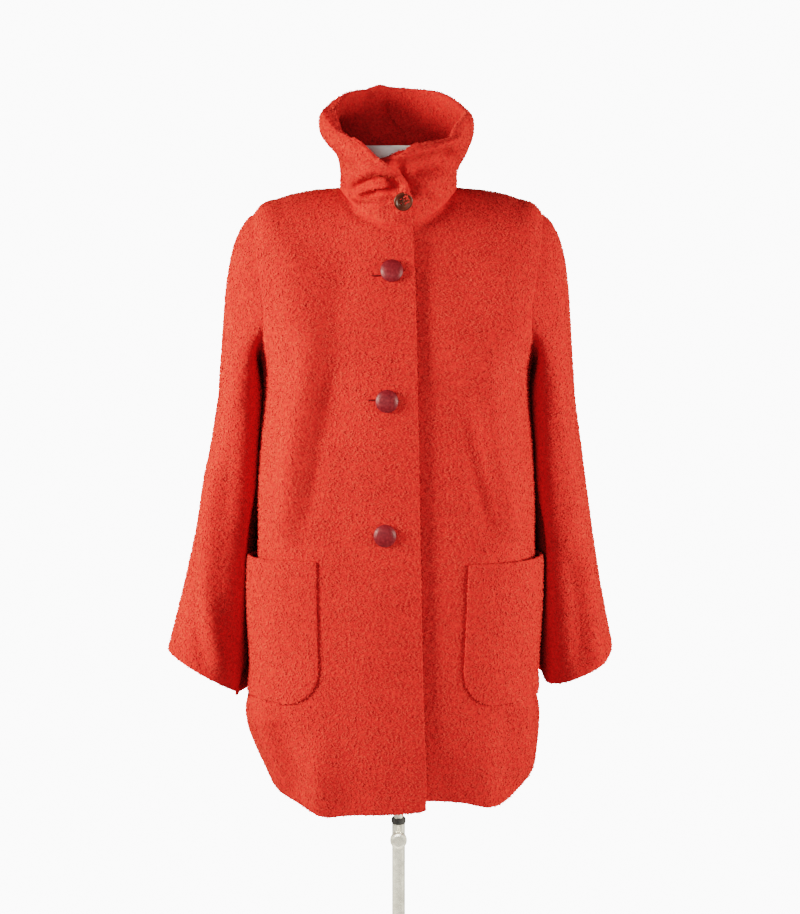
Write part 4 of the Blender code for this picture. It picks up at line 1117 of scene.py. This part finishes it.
def make_front(name, side):
    """A front; side -1 is the right front, which laps over the left."""

    def edge(rows):
        heights = section_value(BODY_SECTIONS, FRONT_Z, rows)
        edge_x = line_value(EDGE_LINE, heights) if side < 0 else UNDER_EDGE_X
        half = section_value(BODY_SECTIONS, LEFT_HALF if side < 0 else RIGHT_HALF, rows)
        return angle_for(edge_x, half, corner_at(BODY_SECTIONS, rows))

    def seam(rows):
        return side * (HALF_PI - armhole_bite(rows) - seam_angle(rows))

    angles, places = body_grid(edge, seam, FRONT_COLUMNS, RIGHT_HEM if side < 0 else LEFT_HEM)
    base = ring_point(BODY_SECTIONS, angles, places)
    grid = body_point(angles, places, 0.0, lap_at(base, side))
    outer, normals = crease_cloth(grid, BODY_CREASES, -side)
    inner = outer - normals * CLOTH
    shell = make_shell(name, outer, inner, SHADED_GROUND, flip=side < 0)
    length = rising(SEAM_PILE, edge_fade(outer, "last_column", SEAM_REACH))
    length *= rising(NECK_PILE, edge_fade(outer, "first_row", NECK_REACH))
    length *= (1.0 - pocket_cover(outer, side)) * (1.0 - PRESSED_PILE * sleeve_shade(outer))
    if side > 0:
        length *= smoothstep(outer[..., 0] - line_value(EDGE_LINE, outer[..., 2]), *UNDER_LAP)
    keep = clear_of_slits if side < 0 else None
    piles = [
        make_pile(f"pile_{name}", outer, normals, length, keep=keep),
        rim_pile(f"pile_{name}_hem", outer, inner, "last_row"),
    ]
    if side < 0:
        piles.append(rim_pile(f"pile_{name}_edge", outer, inner, "first_column"))
    return shell, piles


def make_back(name):
    def left_seam(rows):
        return HALF_PI + armhole_bite(rows) + seam_angle(rows)

    def right_seam(rows):
        return FULL_TURN - left_seam(rows)

    angles, places = body_grid(left_seam, right_seam, BACK_COLUMNS, BACK_HEM)
    grid = body_point(angles, places, 0.0, np.zeros(angles.shape))
    outer, normals = crease_cloth(grid, BODY_CREASES, -1.0)
    inner = outer - normals * CLOTH
    shell = make_shell(name, outer, inner, SHADED_GROUND)
    seams = edge_fade(outer, "last_column", SEAM_REACH) * edge_fade(outer, "first_column", SEAM_REACH)
    length = rising(SEAM_PILE, seams)
    length *= rising(BACK_NECK_PILE, edge_fade(outer, "first_row", NECK_REACH))
    length *= 1.0 - PRESSED_PILE * sleeve_shade(outer)
    half = BACK_COLUMNS // 2
    piles = [rim_pile(f"pile_{name}_hem", outer, inner, "last_row")]
    for label, part in (("left", np.s_[:, :half + 1]), ("right", np.s_[:, half:])):
        piles.append(make_pile(f"pile_{name}_{label}", outer[part], normals[part], length[part]))
    return shell, piles


def armhole_ring(side, lift, steps):
    """The armhole's edge from the shoulder tip down the front and up the back."""
    places = armhole_places(steps)
    bite = armhole_bite(places)
    down = body_point(side * (HALF_PI - bite), places, lift)
    up = body_point(side * (HALF_PI + bite), places, lift)
    return np.concatenate([down, up[-2:0:-1]])


def body_half(side, y, z):
    """How far out the body reaches at this depth and height."""
    heights = [row[SIDE_Z] for row in reversed(BODY_SECTIONS)]
    place = len(heights) - 1 - np.interp(z, heights, np.arange(len(heights)))
    half = section_value(BODY_SECTIONS, RIGHT_HALF if side < 0 else LEFT_HALF, place)
    half = half - side_hollow(BODY_SECTIONS, place, y)
    front, back = (section_value(BODY_SECTIONS, column, place) for column in (FRONT_DEPTH, BACK_DEPTH))
    depth = np.where(y < 0.0, front, back)
    corner = corner_at(BODY_SECTIONS, place)
    away = np.clip(np.abs(y) / depth, 0.0, 1.0)
    return half * (1.0 - away ** (2.0 / corner)) ** (0.5 * corner)


def sleeve_ring(table, side, place, turn):
    z, outer, inner, front, back, corner, out_tilt, back_tilt = (
        section_value(table, column, place) for column in range(SLEEVE_COLUMN_COUNT)
    )
    outward = np.sign(np.cos(turn)) * np.abs(np.cos(turn)) ** corner
    ahead = np.sign(np.sin(turn)) * np.abs(np.sin(turn)) ** corner
    shift_y = -0.5 * (back - front) * ahead
    shift_out = 0.5 * (outer - inner) * outward
    out = 0.5 * (outer + inner) + shift_out
    y = 0.5 * (front + back) + shift_y
    height = z + out_tilt * shift_out + back_tilt * shift_y
    out = out - SLEEVE_TUCK * smoothstep(y, *SLEEVE_TUCK_Y) * 0.5 * (1.0 - outward)
    beside_pocket = smoothstep(-height, *POCKET_SIDE_Z) * smoothstep(-y, *POCKET_SIDE_Y)
    clear = SLEEVE_CLEARANCE + beside_pocket * (POCKET_CLEARANCE - SLEEVE_CLEARANCE)
    least = body_half(side, y, height) + clear
    out = 0.5 * (out + least + np.sqrt((out - least) ** 2 + SLEEVE_EASE ** 2))
    return np.stack([side * out, y, height], axis=-1)


def make_sleeve(name, table, side):
    """A tube that leaves the armhole outwards, turns down over the cap and widens to the cuff."""
    ring = armhole_ring(side, 0.0, SLEEVE_STEPS)
    turn = np.linspace(0.0, FULL_TURN, len(ring), endpoint=False)
    still = 0.0 * turn
    into = unit(np.mean(ring, axis=0) - ring)
    start = ring + into * SEAM_GAP
    end = sleeve_ring(table, side, 0.0, turn)
    top = 0.5 * (1.0 + np.cos(turn))
    out_speed = CAP_OUT[1] + (CAP_OUT[0] - CAP_OUT[1]) * top
    down_speed = CAP_DOWN[1] + (CAP_DOWN[0] - CAP_DOWN[1]) * top
    leave_back = CAP_ROUND * out_speed * np.sin(turn)
    leave = np.stack([side * out_speed, leave_back, -CAP_DROP_AT_START * out_speed], axis=-1)
    arrive = np.stack([still, still, -down_speed], axis=-1)
    rows = []
    for part in np.linspace(0.0, 1.0, CAP_ROWS) ** CAP_SPACING:
        square = side * CAP_SQUARE * math.sin(FULL_TURN * part) * top ** 2
        row = smooth_between(part, start, leave, end, arrive)
        rows.append(row + np.stack([square, still, still], axis=-1))
    for place in np.linspace(0.0, len(table) - 1.0, TUBE_ROWS)[1:]:
        rows.append(sleeve_ring(table, side, place, turn))
    outer, normals = crease_cloth(np.stack(rows), SLEEVE_CREASES[side], side, tube=True)
    inner = outer - normals * CLOTH
    inner[0] = armhole_ring(side, -CLOTH, SLEEVE_STEPS) + into * SEAM_GAP
    shell = make_shell(name, outer, inner, SHADED_GROUND, tube=True, flip=side > 0)
    length = rising(SEAM_PILE, edge_fade(outer, "first_row", SEAM_REACH))
    length *= 1.0 - INNER_ARM_PILE * smoothstep(-side * normals[..., 0], *INNER_ARM_TURN)
    pile = make_pile(f"pile_{name}", outer, normals, length, tube=True)
    cuff = rim_pile(f"pile_{name}_cuff", outer, inner, "last_row", tube=True)
    return shell, [pile, cuff]


def collar_point(angle, place, out, lap):
    base = ring_point(COLLAR_SECTIONS, angle, place)
    behind = np.sin(2.0 * angle) ** 2 * (np.cos(angle) < 0.0)
    share = place / COLLAR_TOP
    base[..., 2] += COLLAR_BACK_SHOULDER * behind * share ** 2
    base[..., 2] += line_value(COLLAR_RIM, np.degrees(angle)) * share ** COLLAR_RISE_POWER
    folds = fold_height(COLLAR_FOLDS, base) * smoothstep(place, *COLLAR_FOLD_PLACES)
    normal = -ring_normal(COLLAR_SECTIONS, angle, place)
    point = base + normal * (folds + out)[..., None]
    return point + lap_shift(lap) + np.array([0.0, 0.0, COLLAR_SEAM_GAP])


def make_collar(name):
    """The doubled band: creased, thicker where its rim rolls over, with pile on both faces."""
    row_count, columns = COLLAR_GRID
    rows = np.linspace(0.0, COLLAR_TOP, row_count)
    half = section_value(COLLAR_SECTIONS, LEFT_HALF, rows)
    over = np.arcsin(line_value(COLLAR_OVER_EDGE, rows) / half)
    under = FULL_TURN - np.arcsin(COLLAR_UNDER_EDGE_X / half)
    part = np.linspace(0.0, 1.0, columns)
    angles = over[:, None] - (over + under)[:, None] * part
    places = np.broadcast_to(rows[:, None], angles.shape)
    base = ring_point(COLLAR_SECTIONS, angles, places)
    on_top = angles > -math.pi
    grid = collar_point(angles, places, 0.0, np.where(on_top, lap_at(base, -1), lap_at(base, 1)))
    normals = grid_normals(grid, -1.0, False)
    upper, lower, back = (
        crease_height(COLLAR_CREASES[where], grid, normals) for where in ("upper", "lower", "back")
    )
    edge_roll = COLLAR_EDGE_ROLL * (1.0 - edge_fade(grid, "first_column", EDGE_ROLL_REACH))
    lift = np.where(on_top, upper, lower)
    lift += back * (1.0 - smoothstep(places, *BACK_CREASE_PLACES))
    lift += edge_roll * smoothstep(places, *EDGE_ROLL_PLACES)
    lift *= smoothstep(places, *COLLAR_FOLD_PLACES)
    outer = grid + normals * lift[..., None]
    flat_normals = grid_normals(outer, -1.0, False)
    roll = smoothstep(places, *RIM_THICK_PLACES) * smoothstep(part, *RIM_THICK_SHARE)
    middle, spread, extra = COLLAR_ROLL
    fuller = extra * np.exp(-((np.degrees(angles) - middle) / spread) ** 2)
    thick = COLLAR_CLOTH + (COLLAR_RIM_CLOTH - COLLAR_CLOTH + fuller) * roll
    inner = outer - flat_normals * thick[..., None]
    rounding = COLLAR_RIM_ROUND * smoothstep(places, *RIM_ROUND_PLACES) ** 2
    outer = outer - flat_normals * rounding[..., None]
    normals = grid_normals(outer, -1.0, False)
    shell = make_shell(name, outer, inner, SHADED_GROUND, flip=True)
    length = rising(NECK_PILE, edge_fade(outer, "first_row", NECK_REACH))
    length *= 1.0 - smoothstep(part, *OUTSIDE_END)[None, :]
    inside = INSIDE_PILE * (1.0 - smoothstep(part, *INSIDE_END)) * smoothstep(part, *INSIDE_START)
    inside_length = inside[None, :] * edge_fade(outer, "first_row", INSIDE_NECK_REACH)
    return shell, [
        make_pile(f"pile_{name}_outside", outer, normals, length, density=COLLAR_DENSITY),
        make_pile(f"pile_{name}_inside", inner, -flat_normals, inside_length),
        rim_pile(f"pile_{name}_rim", outer, inner, "last_row"),
        rim_pile(f"pile_{name}_end", outer, inner, "first_column"),
    ]


def make_pocket(name, row):
    side, inner_x, mouth_inner_z, mouth_outer_z, foot_z, bulge = row
    row_count, columns = POCKET_GRID
    heights = (np.linspace(0.0, 1.0, row_count) ** POCKET_ROW_SPACING)[:, None]
    across = np.linspace(0.0, 1.0, columns)[None, :]
    tall = mouth_inner_z - foot_z
    rise = np.minimum(heights * tall, POCKET_CORNER)
    inset = POCKET_CORNER - np.sqrt(POCKET_CORNER ** 2 - (POCKET_CORNER - rise) ** 2)
    inner_angle = abs(float(angle_at(np.array(side * inner_x), mouth_inner_z)))
    wide = POCKET_MEAN_RADIUS * (POCKET_OUTER_ANGLE - inner_angle)
    narrow = inset / wide
    run = narrow + across * (1.0 - 2.0 * narrow)
    angles = side * (inner_angle + (POCKET_OUTER_ANGLE - inner_angle) * run)
    mouth = mouth_inner_z + (mouth_outer_z - mouth_inner_z) * run
    z = foot_z + heights * (mouth - foot_z)
    places = place_at(angles, z)
    belly = np.sin(math.pi * across ** POCKET_BULGE_SHIFT) * smoothstep(heights, *POCKET_BULGE_RISE)
    stand_off = POCKET_GAP + POCKET_OUTER_EASE * smoothstep(across, *POCKET_OUTER_SHARE) + bulge * belly
    grid = body_point(angles, places, stand_off + CLOTH)
    outer, normals = crease_cloth(grid, (), side)
    inner = outer - normals * CLOTH
    shell = make_shell(name, outer, inner, SHADED_GROUND, flip=side < 0)
    piles = [make_pile(f"pile_{name}", outer, normals, np.ones(outer.shape[:2]))]
    for edge in ("first_row", "last_row", "first_column", "last_column"):
        piles.append(rim_pile(f"pile_{name}_{edge}", outer, inner, edge))
    return shell, piles


# Buttons
def front_seat(x, z):
    """Where a button sits on the right front, and which way it faces."""
    angle = angle_at(np.array(x), z)
    place = place_at(angle, z)
    base = ring_point(BODY_SECTIONS, angle, place)
    seat = body_point(angle, place, 0.0, lap_at(base, -1))
    return seat, ring_normal(BODY_SECTIONS, angle, place)


def outline_rings(outline, radius, height, sides):
    return lathe_rings([(wide * radius, high * height) for wide, high in outline], sides)


def make_front_button(name, x, z):
    seat, facing = front_seat(x, z)
    rings = outline_rings(BUTTON_OUTLINE, BUTTON_RADIUS, BUTTON_HEIGHT, BUTTON_SIDES)
    return make_loft(f"{name}_leather", aim(rings, seat + facing * BUTTON_GAP, facing), LEATHER)


def make_slit(name, x, z):
    """The dark slit of a buttonhole: painted shade in its opening, lying in the pile of the right front.
    """
    seat, facing = front_seat(x, z)
    along = unit(np.cross(facing, UPWARD))
    upward = np.cross(along, facing)
    turn = np.linspace(0.0, FULL_TURN, SLIT_SIDES, endpoint=False)[:, None]
    rim = along * (SLIT_SHADE_HALF[0] * np.cos(turn)) + upward * (SLIT_SHADE_HALF[1] * np.sin(turn))
    low = seat + rim + facing * SLIT_HEIGHTS[0]
    high = seat + rim * SLIT_NARROWING + facing * SLIT_HEIGHTS[1]
    return make_loft(name, [low, high], SLIT_SHADE)


def collar_seat():
    x, z = COLLAR_BUTTON_AT
    places = np.linspace(0.0, COLLAR_TOP, COLLAR_SEARCH)
    half = section_value(COLLAR_SECTIONS, LEFT_HALF, places)
    angles = np.arcsin(x / half)
    base = ring_point(COLLAR_SECTIONS, angles, places)
    nearest = int(np.argmin(np.abs(base[:, 2] - z)))
    seat = collar_point(angles[nearest], places[nearest], 0.0, lap_at(base[nearest], -1))
    facing = -ring_normal(COLLAR_SECTIONS, angles[nearest], places[nearest])
    return seat, facing


def cut_away(thing, cutter):
    """Cuts a closed tool out of a solid and removes the tool."""
    cut = thing.modifiers.new("cut", "BOOLEAN")
    cut.operation = "DIFFERENCE"
    cut.solver = "EXACT"
    cut.object = cutter
    bpy.context.view_layer.update()
    seen = thing.evaluated_get(bpy.context.evaluated_depsgraph_get())
    mesh = bpy.data.meshes.new_from_object(seen)
    thing.modifiers.remove(cut)
    thing.data = mesh
    bpy.data.objects.remove(cutter)


def make_collar_button(name):
    seat, facing = collar_seat()
    seat = seat + facing * BUTTON_GAP
    tall = COLLAR_BUTTON_HEIGHT
    rings = outline_rings(COLLAR_BUTTON_OUTLINE, COLLAR_BUTTON_RADIUS, tall, COLLAR_BUTTON_SIDES)
    button = make_loft(f"{name}_horn", aim(rings, seat, facing), HORN)
    through = [(BUTTON_HOLE_RADIUS, z) for z in (-HOLE_TOOL_MARGIN, tall + HOLE_TOOL_MARGIN)]
    for right in (-1.0, 1.0):
        for up in (-1.0, 1.0):
            shift = np.array([right, up, 0.0]) * BUTTON_HOLE_SPREAD
            rings = [ring + shift for ring in lathe_rings(through, BUTTON_HOLE_SIDES)]
            cut_away(button, make_loft("hole_tool", aim(rings, seat, facing), HORN))
    return button


# Dress form
def make_form(name):
    turn = np.linspace(0.0, FULL_TURN, FORM_SIDES, endpoint=False)
    places = np.linspace(0.0, len(FORM_SECTIONS) - 1.0, FORM_RINGS)
    rings = [ring_point(FORM_SECTIONS, turn, place) for place in places]
    for z in (FORM_SECTIONS[-1][FRONT_Z], FORM_BORE_TOP):
        bore = [np.sin(turn) * FORM_BORE_RADIUS, -np.cos(turn) * FORM_BORE_RADIUS, 0.0 * turn + z]
        rings.append(np.stack(bore, axis=-1))
    return make_loft(name, rings, JERSEY)


def dress(name, shell, piles):
    """Puts a cloth piece and its pile on the dress body and hides the model's piece of that name."""
    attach(shell, "dress")
    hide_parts(name)
    for pile in piles:
        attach(pile, "dress")


dress("front_right", *make_front("cloth_front_right", -1))
dress("front_left", *make_front("cloth_front_left", 1))
dress("back", *make_back("cloth_back"))
dress("sleeve_right", *make_sleeve("cloth_sleeve_right", RIGHT_SLEEVE, -1))
dress("sleeve_left", *make_sleeve("cloth_sleeve_left", LEFT_SLEEVE, 1))
dress("collar", *make_collar("cloth_collar"))
for pocket_name, pocket_row in POCKETS.items():
    dress(pocket_name, *make_pocket(f"cloth_{pocket_name}", pocket_row))
for button_name, (button_x, button_z) in FRONT_BUTTONS.items():
    button = make_front_button(button_name, button_x, button_z)
    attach(button, "dress")
    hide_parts(button_name)
for slit_name, (slit_x, slit_z) in BUTTONHOLES.items():
    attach(make_slit(slit_name, slit_x, slit_z), "dress")
collar_button = make_collar_button("button_collar")
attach(collar_button, "dress")
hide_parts("button_collar")
form = make_form("form_body")
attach(form, "dress")
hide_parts("dress_form")

for node_name, finish in (
    ("inner_pole", CHROME), ("outer_pole", CHROME), ("clamp_boss", CHROME), ("clamp_knob", CHROME),
    ("base_plate", CHROME), ("pole_seal", RUBBER),
):
    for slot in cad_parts[node_name].material_slots:
        slot.material = finish


# Floor, light and camera
FLOOR_PAPER = (3.0, 3.0, (0.3, grey(0.86)), (0.7, grey(0.90)))
FLOOR_ROUGHNESS = 0.9


def make_floor():
    """A pale paper floor that fades into the backdrop away from the stand."""
    rings = lathe_rings([(radius, -FLOOR_DEPTH) for radius in FLOOR_RINGS], FLOOR_SIDES)
    points = np.concatenate(rings)
    faces = [tuple(range(FLOOR_SIDES))]
    faces += [face[::-1] for face in ring_faces(FLOOR_SIDES, len(rings))]
    material, tree, shader = new_material("floor_paper")
    tree.links.new(noise_ramp(tree, *FLOOR_PAPER), shader.inputs["Base Color"])
    set_values(shader, {"Roughness": FLOOR_ROUGHNESS})
    where = tree.nodes.new("ShaderNodeTexCoord")
    distance = tree.nodes.new("ShaderNodeVectorMath")
    distance.operation = "LENGTH"
    tree.links.new(where.outputs["Object"], distance.inputs[0])
    near, far = FLOOR_FADE
    fade = add_ramp(tree, distance.outputs["Value"], ((near, grey(1.0)), (far, grey(0.0))))
    tree.links.new(fade, shader.inputs["Alpha"])
    make_mesh("floor", points, faces, material)


def add_light(name, place, size, power, colour):
    lamp = bpy.data.lights.new(name, "AREA")
    lamp.shape = "RECTANGLE"
    lamp.size, lamp.size_y = size
    lamp.energy = power
    lamp.color = colour
    lamp.spread = LIGHT_SPREAD
    thing = bpy.data.objects.new(name, lamp)
    thing.location = place
    direction = Vector(LIGHT_TARGET) - Vector(place)
    thing.rotation_euler = direction.to_track_quat("-Z", "Y").to_euler()
    bpy.context.scene.collection.objects.link(thing)


def make_world():
    """A white backdrop for the camera, and a weak even light for all else."""
    world = bpy.data.worlds.new("studio")
    world.use_nodes = True
    tree = world.node_tree
    ambient = tree.nodes["Background"]
    backdrop = tree.nodes.new("ShaderNodeBackground")
    for shade, strength in ((ambient, AMBIENT_STRENGTH), (backdrop, BACKDROP_STRENGTH)):
        set_values(shade, {"Color": (1.0, 1.0, 1.0, 1.0), "Strength": strength})
    path = tree.nodes.new("ShaderNodeLightPath")
    mix = tree.nodes.new("ShaderNodeMixShader")
    tree.links.new(path.outputs["Is Camera Ray"], mix.inputs["Fac"])
    for shade, socket in zip((ambient, backdrop), mix.inputs[1:]):
        tree.links.new(shade.outputs["Background"], socket)
    tree.links.new(mix.outputs["Shader"], tree.nodes["World Output"].inputs["Surface"])
    bpy.context.scene.world = world


make_floor()
make_world()
for light in LIGHTS:
    add_light(*light)

camera_data = bpy.data.cameras.new("camera")
camera_data.lens = CAMERA_LENS
camera_data.sensor_width = CAMERA_SENSOR
camera = bpy.data.objects.new("camera", camera_data)
camera.location = CAMERA_AT
camera.rotation_euler = (CAMERA_TILT, 0.0, 0.0)
bpy.context.scene.collection.objects.link(camera)
bpy.context.scene.camera = camera
bpy.context.scene.view_settings.view_transform = "Filmic"
bpy.context.scene.view_settings.look = "High Contrast"
bpy.context.scene.view_settings.exposure = EXPOSURE
